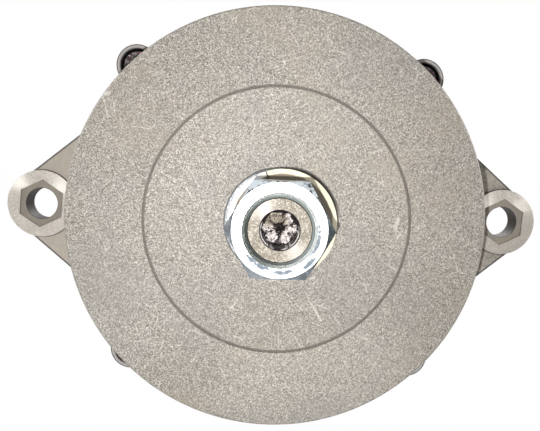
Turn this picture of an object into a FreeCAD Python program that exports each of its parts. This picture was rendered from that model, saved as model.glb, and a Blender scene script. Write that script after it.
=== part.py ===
import FreeCAD, Part
import math
import os
import re
import Sketcher

# Vehicle alternator with a flat faced cooling fan in front and two mounting ears.
# The shaft lies along Y with the fan towards -Y, and +Z is up.
# The origin is on the shaft axis, in the plane of the rear faces of the two ears.

# Driving sizes, in millimetres and degrees
DRIVING_SIZES = {
    # Mounting ears
    "ear_spacing": 180.0,
    "ear_thickness": 9.5,
    "ear_radius": 12.8,
    "ear_hole": 12.0,
    "ear_web_setback": 1.2,
    "ear_web_root_inset": 0.2,
    "ear_web_tip_inset": 1.0,
    "ear_recess_flats": 16.0,
    "ear_recess_depth": 0.8,
    "ear_recess_turn": 3.0,
    # Fan
    "fan_diameter": 140.0,
    "fan_ahead_of_ears": 36.6,
    "fan_plate": 3.2,
    "fan_rim_chamfer": 0.6,
    "fan_ring_diameter": 88.5,
    "fan_ring_width": 0.9,
    "fan_ring_depth": 0.6,
    "fan_hub_radius": 21.0,
    "fan_hub_length": 16.0,
    "fan_hub_flare": 4.5,
    "fan_hub_taper": 3.0,
    "blade_depth": 17.5,
    "blade_inner_radius": 36.0,
    "blade_outer_radius": 67.0,
    "blade_sweep": 24.0,
    "blade_bend_radius": 45.0,
    "blade_thickness": 2.2,
    "blade_count": 12,
    # Shaft, nut and washers
    "shaft_seat_radius": 10.0,
    "shaft_shoulder_radius": 13.0,
    "shaft_pole_radius": 12.0,
    "shaft_rear_shoulder": 10.5,
    "shaft_rear_seat": 8.5,
    "shaft_tail_radius": 7.0,
    "shaft_end_chamfer": 0.9,
    "shaft_end_recess": 1.0,
    "shaft_socket_flats": 10.0,
    "shaft_socket_depth": 9.0,
    "shaft_socket_mouth": 5.95,
    "nut_flats": 28.0,
    "nut_height": 21.0,
    "nut_face_radius": 13.7,
    "nut_countersink": 10.9,
    "spring_washer_radius": 17.4,
    "spring_washer_bore": 11.4,
    "spring_washer_height": 5.0,
    "spring_washer_gap": 0.5,
    "spring_washer_turn": 20.0,
    "spring_washer_shift": 1.3,
    "flat_washer_radius": 17.6,
    "flat_washer_height": 5.0,
    "small_chamfer": 0.5,
    "collar_radius": 14.0,
    "collar_chamfer": 1.0,
    # Fits
    "seat_clearance": 0.03,
    "thread_clearance": 0.05,
    "race_clearance": 0.12,
    "pocket_clearance": 0.2,
    "brush_clearance": 0.25,
    "ring_clearance": 0.3,
    "air_gap": 0.5,
    "slot_clearance": 0.3,
    # Drive end housing
    "housing_skirt": 1.5,
    "housing_wall": 4.5,
    "housing_edge": 4.0,
    "front_face_ahead": 10.2,
    "front_wall": 5.0,
    "front_boss_proud": 2.3,
    "front_boss_radius": 35.0,
    "front_boss_taper": 2.5,
    "collar_gap": 1.5,
    "spigot_depth": 3.0,
    "vent_count": 16,
    "vent_inner_radius": 39.0,
    "vent_outer_margin": 9.5,
    "vent_inner_width": 8.0,
    "vent_outer_width": 13.0,
    # Through bolts and their lugs
    "lug_standoff": 6.0,
    "lug_radius": 7.5,
    "lug_proud": 1.0,
    "lug_counterbore": 12.2,
    "lug_counterbore_depth": 7.0,
    "lug_bolt_hole": 6.6,
    "bolt_diameter": 6.0,
    "bolt_head_diameter": 10.0,
    "bolt_head_height": 6.0,
    "bolt_socket_flats": 5.0,
    "bolt_socket_depth": 3.0,
    "bolt_tip_short": 4.0,
    "rear_lug_length": 24.0,
    # Bearings
    "front_bearing_setback": 3.7,
    "front_bearing_radius": 26.0,
    "front_bearing_width": 15.0,
    "front_ball_radius": 4.76,
    "front_ball_count": 7,
    "rear_bearing_radius": 20.0,
    "rear_bearing_width": 12.0,
    "rear_ball_radius": 3.37,
    "rear_ball_count": 8,
    "race_shoulder": 2.1,
    "cage_thickness": 1.6,
    "cage_web": 0.9,
    "seal_thickness": 0.8,
    "seal_inset": 0.4,
    "seal_lip_gap": 0.3,
    "retainer_thickness": 2.0,
    "retainer_inner_radius": 21.0,
    "retainer_outer_radius": 34.5,
    "retainer_screw_circle": 61.0,
    "retainer_screw_radius": 2.0,
    "retainer_screw_length": 8.0,
    "retainer_head_radius": 3.4,
    "retainer_head_height": 1.8,
    "screw_tip_gap": 1.0,
    # Stator
    "stator_behind_ears": 15.0,
    "stator_length": 32.0,
    "stator_radius": 68.0,
    "slot_count": 36,
    "slot_mouth": 2.4,
    "slot_width": 4.6,
    "slot_lip": 1.6,
    "slot_back_iron": 4.9,
    "slot_taper": 1.0,
    "weld_groove_radius": 1.6,
    "weld_groove_proud": 0.4,
    "weld_groove_angle": 15.0,
    "weld_groove_count": 12,
    "coil_side_width": 3.6,
    "coil_side_margin": 2.0,
    "end_turn_margin": 3.6,
    "end_turn_width": 3.0,
    "end_turn_height": 3.5,
    "end_turn_gap": 0.6,
    "end_turn_lift": 1.5,
    # Rotor
    "rotor_radius": 49.0,
    "rotor_length": 52.0,
    "pole_plate": 12.0,
    "pole_finger_count": 6,
    "pole_finger_short": 4.0,
    "pole_finger_root": 11.0,
    "pole_finger_tip": 4.5,
    "pole_finger_chamfer": 1.0,
    "pole_root_width": 27.0,
    "pole_tip_width": 12.0,
    "pole_floor_radius": 33.0,
    "pole_hub_radius": 26.0,
    "bobbin_wall": 1.6,
    "coil_radius": 36.5,
    "coil_crown": 0.8,
    # Rear housing
    "rear_bearing_behind_poles": 6.0,
    "rear_boss_radius": 25.0,
    "rear_lip_radius": 10.0,
    "rear_wall": 4.5,
    "rear_lip": 3.0,
    "side_vent_count": 12,
    "side_vent_width": 10.0,
    "side_vent_margin": 5.0,
    "rear_vent_inner_radius": 43.0,
    "rear_vent_longer": 1.0,
    "rear_vent_turn": 15.0,
    # Slip rings and brushes
    "slip_start": 2.5,
    "slip_ring_radius": 12.5,
    "slip_ring_thickness": 1.8,
    "slip_ring_width": 6.5,
    "slip_ring_gap": 2.5,
    "slip_margin": 1.2,
    "slip_flange_drop": 0.4,
    "brush_across": 5.0,
    "brush_along": 5.6,
    "brush_length": 17.0,
    "brush_holder_wall": 2.2,
    "brush_holder_lift": 3.0,
    "holder_tab_reach": 10.0,
    "holder_tab_height": 12.0,
    "holder_tab_thickness": 3.5,
    "holder_screw_drop": 8.0,
    "brush_spring_length": 14.0,
    "brush_spring_radius": 1.9,
    "brush_spring_wire": 0.35,
    "brush_spring_gap": 0.1,
    "brush_spring_turns": 5,
    # Rectifier
    "sink_margin": 14.5,
    "sink_width": 25.0,
    "sink_thickness": 3.5,
    "sink_spacing": 10.0,
    "sink_top": 6.0,
    "diode_margin": 11.0,
    "diode_radius": 6.2,
    "diode_height": 6.5,
    "diode_lead_radius": 0.7,
    "diode_lead_length": 2.0,
    "diode_pitch": 38.0,
    "diode_stagger": 19.0,
    "rectifier_screw_radius": 2.0,
    "rectifier_screw_margin": 4.5,
    "screw_head_radius": 3.6,
    "screw_head_height": 2.4,
    "screw_hole_clearance": 0.2,
    "spacer_radius": 4.2,
    "terminal_board_thickness": 3.0,
    "terminal_board_margin": 8.5,
    "terminal_board_width": 11.0,
    "terminal_board_top": 36.0,
    "stator_lead_radius": 1.1,
    "stator_lead_margin": 10.2,
    "stator_lead_proud": 1.5,
    "lead_clearance": 0.1,
    "lead_tail_gap": 0.3,
    "exciter_diode_inset": 0.8,
    "exciter_diode_radius": 2.2,
    "exciter_diode_length": 6.0,
    # Output and ground studs
    "output_stud_radius": 4.0,
    "output_stud_length": 24.0,
    "output_stud_margin": 16.5,
    "output_head_height": 3.0,
    "output_free_radius": 3.0,
    "output_washer_height": 1.6,
    "output_stud_angle": 342.0,
    "stud_nut_flats": 13.0,
    "stud_nut_height": 6.5,
    "bush_radius": 9.0,
    "bush_neck_radius": 6.5,
    "bush_flange": 3.0,
    "ground_stud_radius": 3.0,
    "ground_stud_length": 16.0,
    "ground_stud_margin": 11.5,
    "ground_free_radius": 2.5,
    "ground_stud_angle": 138.0,
    "ground_nut_flats": 10.0,
    "ground_nut_height": 5.0,
    "stud_tip_chamfer": 0.6,
    # Regulator and capacitor
    "regulator_inner": 17.0,
    "regulator_side_margin": 20.5,
    "regulator_bottom": 20.0,
    "regulator_top_margin": 23.5,
    "regulator_depth": 14.0,
    "regulator_standoff": 2.0,
    "regulator_foot_inset": 4.0,
    "regulator_foot_top": 8.0,
    "plug_width": 22.0,
    "plug_height": 13.0,
    "plug_wall": 1.6,
    "plug_length": 18.0,
    "plug_floor": 2.0,
    "pin_width": 4.8,
    "pin_thickness": 0.8,
    "pin_pitch": 6.2,
    "pin_setback": 6.0,
    "capacitor_radius": 8.0,
    "capacitor_length": 16.0,
    "capacitor_side_margin": 39.5,
    "capacitor_top_margin": 35.5,
    "capacitor_foot_radius": 5.0,
    "capacitor_foot_height": 2.0,
    # Rear cover
    "cover_margin": 5.0,
    "cover_wall": 1.6,
    "cover_depth": 27.0,
    "cover_edge": 5.0,
    "cover_slot_count": 28,
    "cover_slot_width": 3.0,
    "cover_slot_inner": 20.0,
    "cover_slot_margin": 12.5,
    "cover_cap_radius": 16.0,
    "cover_cap_height": 2.0,
    "cover_clearance": 0.8,
    "cover_side_slot_count": 24,
    "cover_side_slot_width": 4.0,
    "cover_side_slot_length": 11.0,
    "cover_side_slot_setback": 7.0,
    "cover_screw_radius": 2.5,
    "cover_screw_margin": 11.5,
    "cover_head_flats": 8.0,
    "cover_head_height": 4.0,
}

doc = FreeCAD.newDocument("alternator")
sizes = doc.addObject("Spreadsheet::Sheet", "sizes")
for row, (alias, number) in enumerate(DRIVING_SIZES.items(), start=1):
    sizes.set(f"A{row}", alias)
    sizes.set(f"B{row}", str(number))
    sizes.setAlias(f"B{row}", alias)
doc.recompute()


# Formulas on the sheet

def formula(text):
    """Point each size named in the text at its cell."""
    return re.sub(r"[a-z_]+", lambda word: "sizes." * (word[0] in DRIVING_SIZES) + word[0], str(text))


def number_of(text):
    """The value that a formula has now."""
    return float(sizes.evalExpression(formula(text)))


def bind(thing, settings):
    """Bind properties of a thing to formulas."""
    for name, text in settings.items():
        thing.setExpression(name, formula(text))
    return thing


def polar(radius, angle):
    """Across and up, for a place at a radius and an angle seen from the front."""
    return f"({radius}) * cos({angle})", f"({radius}) * sin({angle})"


# Stations along the shaft, from the rear faces of the ears
EAR_FRONT = "(-ear_thickness)"
FAN_FRONT = f"({EAR_FRONT} - fan_ahead_of_ears)"
FAN_BACK = f"({FAN_FRONT} + fan_plate)"
BLADE_END = f"({FAN_BACK} + blade_depth)"
FAN_HUB_BACK = f"({FAN_FRONT} + fan_hub_length)"
FLAT_WASHER_FRONT = f"({FAN_FRONT} - flat_washer_height)"
SPRING_WASHER_FRONT = f"({FLAT_WASHER_FRONT} - spring_washer_height)"
NUT_FRONT = f"({SPRING_WASHER_FRONT} - nut_height)"
SHAFT_FRONT = f"({NUT_FRONT} + shaft_end_recess)"
FRONT_FACE = f"({EAR_FRONT} - front_face_ahead)"
FRONT_WALL_BACK = f"({FRONT_FACE} + front_wall)"
FRONT_BOSS = f"({FRONT_FACE} - front_boss_proud)"
LUG_FRONT = f"({FRONT_FACE} - lug_proud)"
BOLT_SEAT = f"({LUG_FRONT} + lug_counterbore_depth)"
FRONT_BEARING = f"({FRONT_FACE} + front_bearing_setback)"
FRONT_BEARING_BACK = f"({FRONT_BEARING} + front_bearing_width)"
RETAINER_BACK = f"({FRONT_BEARING_BACK} + retainer_thickness)"
STATOR_FRONT = "(stator_behind_ears)"
STATOR_BACK = f"({STATOR_FRONT} + stator_length)"
ROTOR_MIDDLE = f"({STATOR_FRONT} + stator_length / 2)"
ROTOR_FRONT = f"({ROTOR_MIDDLE} - rotor_length / 2)"
ROTOR_BACK = f"({ROTOR_MIDDLE} + rotor_length / 2)"
FRONT_RIM = f"({STATOR_FRONT} + spigot_depth)"
REAR_RIM = f"({STATOR_BACK} - spigot_depth)"
REAR_BEARING = f"({ROTOR_BACK} + rear_bearing_behind_poles)"
REAR_BEARING_BACK = f"({REAR_BEARING} + rear_bearing_width)"
REAR_FACE = f"({REAR_BEARING_BACK} + rear_lip)"
REAR_WALL_FRONT = f"({REAR_FACE} - rear_wall)"
REAR_LUG_BACK = f"({REAR_RIM} + rear_lug_length)"
SLIP_FRONT = f"({REAR_FACE} + slip_start)"
RING_PITCH = "(slip_ring_width + slip_ring_gap)"
FIRST_RING = f"({SLIP_FRONT} + slip_margin + slip_ring_width / 2)"
SECOND_RING = f"({FIRST_RING} + {RING_PITCH})"
SLIP_BACK = f"({SECOND_RING} + slip_ring_width / 2 + slip_margin)"
REAR_SINK_FRONT = f"({REAR_FACE} + sink_thickness + sink_spacing)"
REAR_SINK_BACK = f"({REAR_SINK_FRONT} + sink_thickness)"
REGULATOR_FRONT = f"({REAR_FACE} + regulator_standoff)"
REGULATOR_BACK = f"({REGULATOR_FRONT} + regulator_depth)"
COVER_BACK = f"({REAR_FACE} + cover_depth)"

# Lengths that several sub-parts share
FAN_RADIUS = "(fan_diameter / 2)"
QUARTER_ANGLES = (45, 135, 225, 315)
HOUSING_RADIUS = "(stator_radius + housing_skirt)"
LUG_PLACES = [polar("stator_radius + lug_standoff", angle) for angle in QUARTER_ANGLES]
RETAINER_SCREW_PLACES = [polar("retainer_screw_circle / 2", angle) for angle in QUARTER_ANGLES]
EAR_PLACES = [("ear_spacing / 2", "0"), ("-ear_spacing / 2", "0")]
WEB_ROOT = f"({HOUSING_RADIUS} - ear_web_root_inset)"
WEB_TIP = "(ear_radius - ear_web_tip_inset)"
VENT_OUTER = f"({HOUSING_RADIUS} - vent_outer_margin)"
HOUSING_INSIDE = f"({HOUSING_RADIUS} - housing_wall)"
COVER_RADIUS = f"({HOUSING_RADIUS} - cover_margin)"
COVER_SCREW_CIRCLE = f"({HOUSING_RADIUS} - cover_screw_margin)"
SINK_OUTER = f"({HOUSING_RADIUS} - sink_margin)"
SINK_INNER = f"({SINK_OUTER} - sink_width)"
DIODE_CIRCLE = f"({SINK_OUTER} - diode_margin)"
RECTIFIER_SCREW_CIRCLE = f"({SINK_INNER} + rectifier_screw_margin)"
BOARD_OUTER = f"({HOUSING_RADIUS} - terminal_board_margin)"
BOARD_INNER = f"({BOARD_OUTER} - terminal_board_width)"
LEAD_CIRCLE = f"({HOUSING_RADIUS} - stator_lead_margin)"
REGULATOR_SIDE = f"({COVER_RADIUS} - regulator_side_margin)"
REGULATOR_TOP = f"({COVER_RADIUS} - regulator_top_margin)"
END_TURN_OUTER = "(stator_radius - end_turn_margin)"
END_TURN_INNER = f"({END_TURN_OUTER} - end_turn_width)"
DEGREES = "180 / pi"
SPIGOT_RADIUS = "(stator_radius + seat_clearance)"
STATOR_BORE = "(rotor_radius + air_gap)"
SLOT_BOTTOM = "(stator_radius - slot_back_iron)"
BRUSH_BOTTOM = "(slip_ring_radius + ring_clearance)"
BRUSH_TOP = f"({BRUSH_BOTTOM} + brush_length)"
HOLDER_BOTTOM = f"({BRUSH_BOTTOM} + brush_holder_lift)"
HOLDER_ROOF = f"({BRUSH_TOP} + brush_spring_length)"
HOLDER_TOP = f"({HOLDER_ROOF} + brush_holder_wall)"
HOLDER_HALF = "(brush_across / 2 + brush_clearance + brush_holder_wall)"

# Finished sub-parts by node name
nodes = {}


def finish(node, thing):
    """Give a sub-part its label and keep it for writing."""
    thing.Label = node
    nodes[node] = thing
    return thing


# Sketches and bodies

def origin_part(body, role):
    """One of a body's own origin planes or axes."""
    return [part for part in body.Origin.OriginFeatures if part.Role == role][0]


def new_body(name):
    """An empty body."""
    return doc.addObject("PartDesign::Body", name)


def new_sketch(body, role, offset="0"):
    """A sketch on one of the body's origin planes, moved along the plane's normal."""
    sketch = body.newObject("Sketcher::SketchObject", "outline")
    sketch.AttachmentSupport = [(origin_part(body, role), "")]
    sketch.MapMode = "FlatFace"
    return bind(sketch, {"AttachmentOffset.Base.z": offset})


def pin_point(sketch, edge, end, across, up):
    """Hold one point of an edge at two formulas."""
    for kind, text in (("DistanceX", across), ("DistanceY", up)):
        index = sketch.addConstraint(Sketcher.Constraint(kind, -1, 1, edge, end, number_of(text)))
        bind(sketch, {f"Constraints[{index}]": text})


def arc_between(start, stop, radius):
    """An arc that leaves start to the right of its chord when the radius is positive."""
    chord = stop - start
    aside = FreeCAD.Vector(-chord.y, chord.x, 0).normalize()
    turn = 1 if radius > 0 else -1
    centre = (start + stop) / 2 + aside * turn * (radius ** 2 - chord.Length ** 2 / 4) ** 0.5
    first, last = (start, stop) if radius > 0 else (stop, start)
    across = FreeCAD.Vector(1, 0, 0)
    angles = [across.getAngle(end - centre) * (1 if end.y >= centre.y else -1) for end in (first, last)]
    if angles[1] < angles[0]:
        angles[1] += 2 * math.pi
    circle = Part.Circle(centre, FreeCAD.Vector(0, 0, 1), abs(radius))
    return Part.ArcOfCircle(circle, angles[0], angles[1])


def draw_outline(sketch, corners):
    """A closed outline. A corner is across and up, with a radius where an arc leaves it."""
    places = [FreeCAD.Vector(number_of(corner[0]), number_of(corner[1]), 0) for corner in corners]
    tails = []
    for index, corner in enumerate(corners):
        start, stop = places[index], places[(index + 1) % len(corners)]
        if len(corner) == 2:
            edge = sketch.addGeometry(Part.LineSegment(start, stop))
            tails.append((edge, 1, 2))
            continue
        radius = number_of(corner[2])
        edge = sketch.addGeometry(arc_between(start, stop, radius))
        place = sketch.addConstraint(Sketcher.Constraint("Radius", edge, abs(radius)))
        bind(sketch, {f"Constraints[{place}]": f"abs({corner[2]})"})
        tails.append((edge, 1, 2) if radius > 0 else (edge, 2, 1))
    for index, (edge, tail, head) in enumerate(tails):
        next_edge, next_tail, next_head = tails[(index + 1) % len(tails)]
        sketch.addConstraint(Sketcher.Constraint("Coincident", edge, head, next_edge, next_tail))
        pin_point(sketch, edge, tail, corners[index][0], corners[index][1])


def outlined(corners):
    """What draws one closed outline in a sketch."""
    return lambda sketch: draw_outline(sketch, corners)


def draw_circle(sketch, across, up, radius):
    """A circle with its centre and radius held by formulas."""
    centre = FreeCAD.Vector(number_of(across), number_of(up), 0)
    edge = sketch.addGeometry(Part.Circle(centre, FreeCAD.Vector(0, 0, 1), number_of(radius)))
    pin_point(sketch, edge, 3, across, up)
    index = sketch.addConstraint(Sketcher.Constraint("Radius", edge, number_of(radius)))
    bind(sketch, {f"Constraints[{index}]": radius})


def circled(places, radius):
    """What draws equal circles at some places in a sketch."""
    def draw(sketch):
        for across, up in places:
            draw_circle(sketch, across, up, radius)
    return draw


def hexagon_corners(across, up, flats, turn):
    """The corners of a hexagon seen from the front."""
    corners = []
    for step in range(6):
        side, rise = polar(f"({flats}) / 2 / cos(30)", f"{turn} + {60 * step}")
        corners.append((f"{across} + {side}", f"{up} + {rise}"))
    return corners


def revolve(body, corners, kind="PartDesign::Revolution"):
    """A turned form, or a turned cavity, from corners given as radius and station."""
    sketch = new_sketch(body, "XY_Plane")
    draw_outline(sketch, corners)
    feature = body.newObject(kind, "turned")
    feature.Profile = sketch
    feature.ReferenceAxis = (sketch, ["V_Axis"])
    feature.Angle = 360
    sketch.Visibility = False
    return feature


def groove(body, corners):
    """A turned cavity."""
    return revolve(body, corners, "PartDesign::Groove")


def turned_body(name, corners):
    """A body that starts as one turned form."""
    body = new_body(name)
    revolve(body, corners)
    return body


def pad(body, front, back, draw):
    """Material between two stations with the outlines that draw puts in the sketch."""
    sketch = new_sketch(body, "XZ_Plane", f"-({back})")
    draw(sketch)
    feature = body.newObject("PartDesign::Pad", "pad")
    feature.Profile = sketch
    return bind(feature, {"Length": f"({back}) - ({front})"})


def pocket(body, front, back, draw):
    """A cut between two stations with the outlines that draw puts in the sketch."""
    sketch = new_sketch(body, "XZ_Plane", f"-({front})")
    draw(sketch)
    feature = body.newObject("PartDesign::Pocket", "pocket")
    feature.Profile = sketch
    return bind(feature, {"Length": f"({back}) - ({front})"})


def repeat(body, feature, count):
    """The feature repeated evenly round the shaft axis."""
    pattern = body.newObject("PartDesign::PolarPattern", "round_the_shaft")
    pattern.Originals = [feature]
    pattern.Axis = (origin_part(body, "Y_Axis"), [""])
    pattern.Angle = 360
    bind(pattern, {"Occurrences": count})
    body.Tip = pattern
    return pattern


# Simple solids

def set_along_y(thing, across, station, up, turn="0"):
    """Lay a solid that grows along its own Z so that it grows towards the rear."""
    thing.Placement = FreeCAD.Placement(FreeCAD.Vector(), FreeCAD.Rotation(FreeCAD.Vector(1, 0, 0), -90))
    return bind(thing, {"Placement.Base.x": across, "Placement.Base.y": station, "Placement.Base.z": up})


def rod(radius, front, back, place=("0", "0")):
    """A round rod between two stations."""
    cylinder = doc.addObject("Part::Cylinder", "rod")
    bind(cylinder, {"Radius": radius, "Height": f"({back}) - ({front})"})
    return set_along_y(cylinder, place[0], front, place[1])


def hexagon_rod(flats, front, back, place=("0", "0")):
    """A hexagonal rod between two stations, with a corner to each side."""
    prism = doc.addObject("Part::Prism", "hexagon_rod")
    prism.Polygon = 6
    bind(prism, {"Circumradius": f"({flats}) / 2 / cos(30)", "Height": f"({back}) - ({front})"})
    return set_along_y(prism, place[0], front, place[1])


def block(low, high):
    """A rectangular block between two corners."""
    box = doc.addObject("Part::Box", "block")
    bind(box, {"Length": f"{high[0]} - ({low[0]})", "Width": f"{high[1]} - ({low[1]})"})
    bind(box, {"Height": f"{high[2]} - ({low[2]})"})
    return bind(box, {"Placement.Base.x": low[0], "Placement.Base.y": low[1], "Placement.Base.z": low[2]})


def joined(*solids):
    """Solids fused into one."""
    fusion = doc.addObject("Part::MultiFuse", "joined")
    fusion.Shapes = list(solids)
    fusion.Refine = True
    return fusion


def without(base, *tools):
    """A solid with other solids cut out of it."""
    difference = doc.addObject("Part::Cut", "without")
    difference.Base = base
    difference.Tool = tools[0] if len(tools) == 1 else joined(*tools)
    return difference


def shared(first, second):
    """What two solids have in common."""
    overlap = doc.addObject("Part::Common", "shared")
    overlap.Base = first
    overlap.Tool = second
    return overlap


def set_of(solids):
    """Separate solids kept together as one sub-part."""
    compound = doc.addObject("Part::Compound", "set_of")
    compound.Links = list(solids)
    return compound


def tube(inner, outer, front, back, place=("0", "0")):
    """A round tube between two stations."""
    return without(rod(outer, front, back, place), rod(inner, f"{front} - 1", f"{back} + 1", place))


# Rotor: shaft, nut, washers, fan and collar

def make_shaft():
    """The stepped shaft with a hexagon socket in its threaded front end."""
    tip = "(shaft_seat_radius - shaft_end_chamfer)"
    shaft = turned_body("shaft", [
        ("0", SHAFT_FRONT),
        (tip, SHAFT_FRONT),
        ("shaft_seat_radius", f"{SHAFT_FRONT} + shaft_end_chamfer"),
        ("shaft_seat_radius", FRONT_BEARING_BACK),
        ("shaft_shoulder_radius", FRONT_BEARING_BACK),
        ("shaft_shoulder_radius", ROTOR_FRONT),
        ("shaft_pole_radius", ROTOR_FRONT),
        ("shaft_pole_radius", ROTOR_BACK),
        ("shaft_rear_shoulder", ROTOR_BACK),
        ("shaft_rear_shoulder", REAR_BEARING),
        ("shaft_rear_seat", REAR_BEARING),
        ("shaft_rear_seat", REAR_BEARING_BACK),
        ("shaft_tail_radius", REAR_BEARING_BACK),
        ("shaft_tail_radius", f"{SLIP_BACK} - shaft_end_chamfer"),
        ("shaft_tail_radius - shaft_end_chamfer", SLIP_BACK),
        ("0", SLIP_BACK),
    ])
    mouth = "(shaft_socket_mouth - shaft_socket_flats / 2)"
    groove(shaft, [
        ("0", f"{SHAFT_FRONT} - 1"),
        ("shaft_socket_mouth", f"{SHAFT_FRONT} - 1"),
        ("shaft_socket_mouth", SHAFT_FRONT),
        ("shaft_socket_flats / 2", f"{SHAFT_FRONT} + {mouth}"),
        ("0", f"{SHAFT_FRONT} + {mouth}"),
    ])
    socket = hexagon_corners("0", "0", "shaft_socket_flats", "0")
    pocket(shaft, SHAFT_FRONT, f"({SHAFT_FRONT} + shaft_socket_depth)", outlined(socket))
    finish("shaft", shaft)


def make_shaft_nut():
    """The tall hexagon nut with a turned crown and a countersunk thread."""
    beyond = "(nut_flats / 2 / cos(30) + small_chamfer)"
    bore = "(shaft_seat_radius + thread_clearance)"
    crown = turned_body("nut_crown", [
        ("nut_countersink", NUT_FRONT),
        ("nut_face_radius", NUT_FRONT),
        (beyond, f"{NUT_FRONT} + ({beyond} - nut_face_radius) * tan(30)"),
        (beyond, SPRING_WASHER_FRONT),
        (bore, SPRING_WASHER_FRONT),
        (bore, f"{NUT_FRONT} + nut_countersink - {bore}"),
    ])
    hexagon = hexagon_rod("nut_flats", NUT_FRONT, SPRING_WASHER_FRONT)
    finish("shaft_nut", shared(crown, hexagon))


def make_washers():
    """The split spring washer, shifted a little to one side, and the thick flat washer."""
    place = ("spring_washer_shift", "0")
    ring = tube("spring_washer_bore", "spring_washer_radius", SPRING_WASHER_FRONT, FLAT_WASHER_FRONT, place)
    reach = "(spring_washer_radius + 2)"
    far_corner = ("spring_washer_gap", f"{FLAT_WASHER_FRONT} + 1", reach)
    split = block(("0", f"{SPRING_WASHER_FRONT} - 1", "0"), far_corner)
    split.Placement = FreeCAD.Placement(FreeCAD.Vector(), FreeCAD.Rotation(FreeCAD.Vector(0, 1, 0), -1))
    bind(split, {"Placement.Rotation.Angle": "-spring_washer_turn"})
    bind(split, {"Placement.Base.x": "spring_washer_shift"})
    finish("spring_washer", without(ring, split))
    bore = "(shaft_seat_radius + seat_clearance)"
    finish("flat_washer", turned_body("flat_washer", [
        (bore, FLAT_WASHER_FRONT),
        ("flat_washer_radius - small_chamfer", FLAT_WASHER_FRONT),
        ("flat_washer_radius", f"{FLAT_WASHER_FRONT} + small_chamfer"),
        ("flat_washer_radius", FAN_FRONT),
        (bore, FAN_FRONT),
    ]))


def make_fan():
    """The cast fan: a flat disc in front, a tapered hub and curved blades behind."""
    bore = "(shaft_seat_radius + seat_clearance)"
    fan = turned_body("fan", [
        (bore, FAN_FRONT),
        (f"{FAN_RADIUS} - fan_rim_chamfer", FAN_FRONT),
        (FAN_RADIUS, f"{FAN_FRONT} + fan_rim_chamfer"),
        (FAN_RADIUS, FAN_BACK),
        ("fan_hub_radius + fan_hub_flare", FAN_BACK),
        ("fan_hub_radius", f"{FAN_BACK} + fan_hub_flare"),
        ("fan_hub_radius - fan_hub_taper", FAN_HUB_BACK),
        (bore, FAN_HUB_BACK),
    ])
    ring_inside = "(fan_ring_diameter / 2 - fan_ring_width / 2)"
    groove(fan, [
        (ring_inside, f"{FAN_FRONT} - 1"),
        (f"{ring_inside} + fan_ring_width", f"{FAN_FRONT} - 1"),
        (f"{ring_inside} + fan_ring_width", f"{FAN_FRONT} + fan_ring_depth"),
        (ring_inside, f"{FAN_FRONT} + fan_ring_depth"),
    ])
    spread = f"(blade_thickness / 2 / blade_outer_radius * {DEGREES})"
    lower_tip = polar("blade_outer_radius", f"blade_sweep - {spread}")
    upper_tip = polar("blade_outer_radius", f"blade_sweep + {spread}")
    blade = [
        ("blade_inner_radius", "-blade_thickness / 2", "blade_bend_radius"),
        lower_tip,
        upper_tip + ("-(blade_bend_radius - blade_thickness)",),
        ("blade_inner_radius", "blade_thickness / 2"),
    ]
    root = f"({FAN_BACK} - fan_plate / 2)"
    repeat(fan, pad(fan, root, BLADE_END, outlined(blade)), "blade_count")
    finish("fan", fan)


def make_collar():
    """The spacer that clamps the fan hub against the bearing's inner ring."""
    bore = "(shaft_seat_radius + seat_clearance)"
    finish("spacer_collar", turned_body("spacer_collar", [
        (bore, FAN_HUB_BACK),
        ("collar_radius", FAN_HUB_BACK),
        ("collar_radius", f"{FRONT_BEARING} - collar_chamfer"),
        ("collar_radius - collar_chamfer", FRONT_BEARING),
        (bore, FRONT_BEARING),
    ]))


# Rotor: claw poles, coil and slip rings

def make_claw_pole(node, side, turn):
    """One claw pole. Side is 1 with the plate in front and -1 with it at the rear."""
    def station(distance):
        return f"({ROTOR_MIDDLE} - ({side}) * (rotor_length / 2 - ({distance})))"

    finger_end = "(rotor_length - pole_finger_short)"
    bore = "(shaft_pole_radius + seat_clearance)"
    pole = turned_body(node, [
        (bore, station("0")),
        ("rotor_radius - pole_finger_chamfer * 3", station("0")),
        ("rotor_radius", station("pole_finger_chamfer * 3")),
        ("rotor_radius", station(f"{finger_end} - pole_finger_chamfer")),
        ("rotor_radius - pole_finger_chamfer", station(finger_end)),
        ("rotor_radius - pole_finger_tip", station(finger_end)),
        ("rotor_radius - pole_finger_root", station("pole_plate")),
        (bore, station("pole_plate")),
    ])
    gap_count = number_of("pole_finger_count")
    pitch = 360 / gap_count
    sketch = new_sketch(pole, "XY_Plane", "rotor_radius + 5")
    root_gap = f"(rotor_radius * sin({pitch / 2}) - pole_root_width / 2)"
    tip_gap = f"(rotor_radius * sin({pitch / 2}) - pole_tip_width / 2)"
    draw_outline(sketch, [
        (f"-{root_gap}", station("-1")),
        (root_gap, station("-1")),
        (root_gap, station("pole_plate / 2")),
        (tip_gap, station(f"{finger_end} + 1")),
        (f"-{tip_gap}", station(f"{finger_end} + 1")),
        (f"-{root_gap}", station("pole_plate / 2")),
    ])
    gap = pole.newObject("PartDesign::Pocket", "between_fingers")
    gap.Profile = sketch
    bind(gap, {"Length": "rotor_radius + 5 - pole_floor_radius"})
    repeat(pole, gap, "pole_finger_count")
    pole.Placement = FreeCAD.Placement(FreeCAD.Vector(), FreeCAD.Rotation(FreeCAD.Vector(0, 1, 0), turn))
    finish(node, pole)


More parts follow.
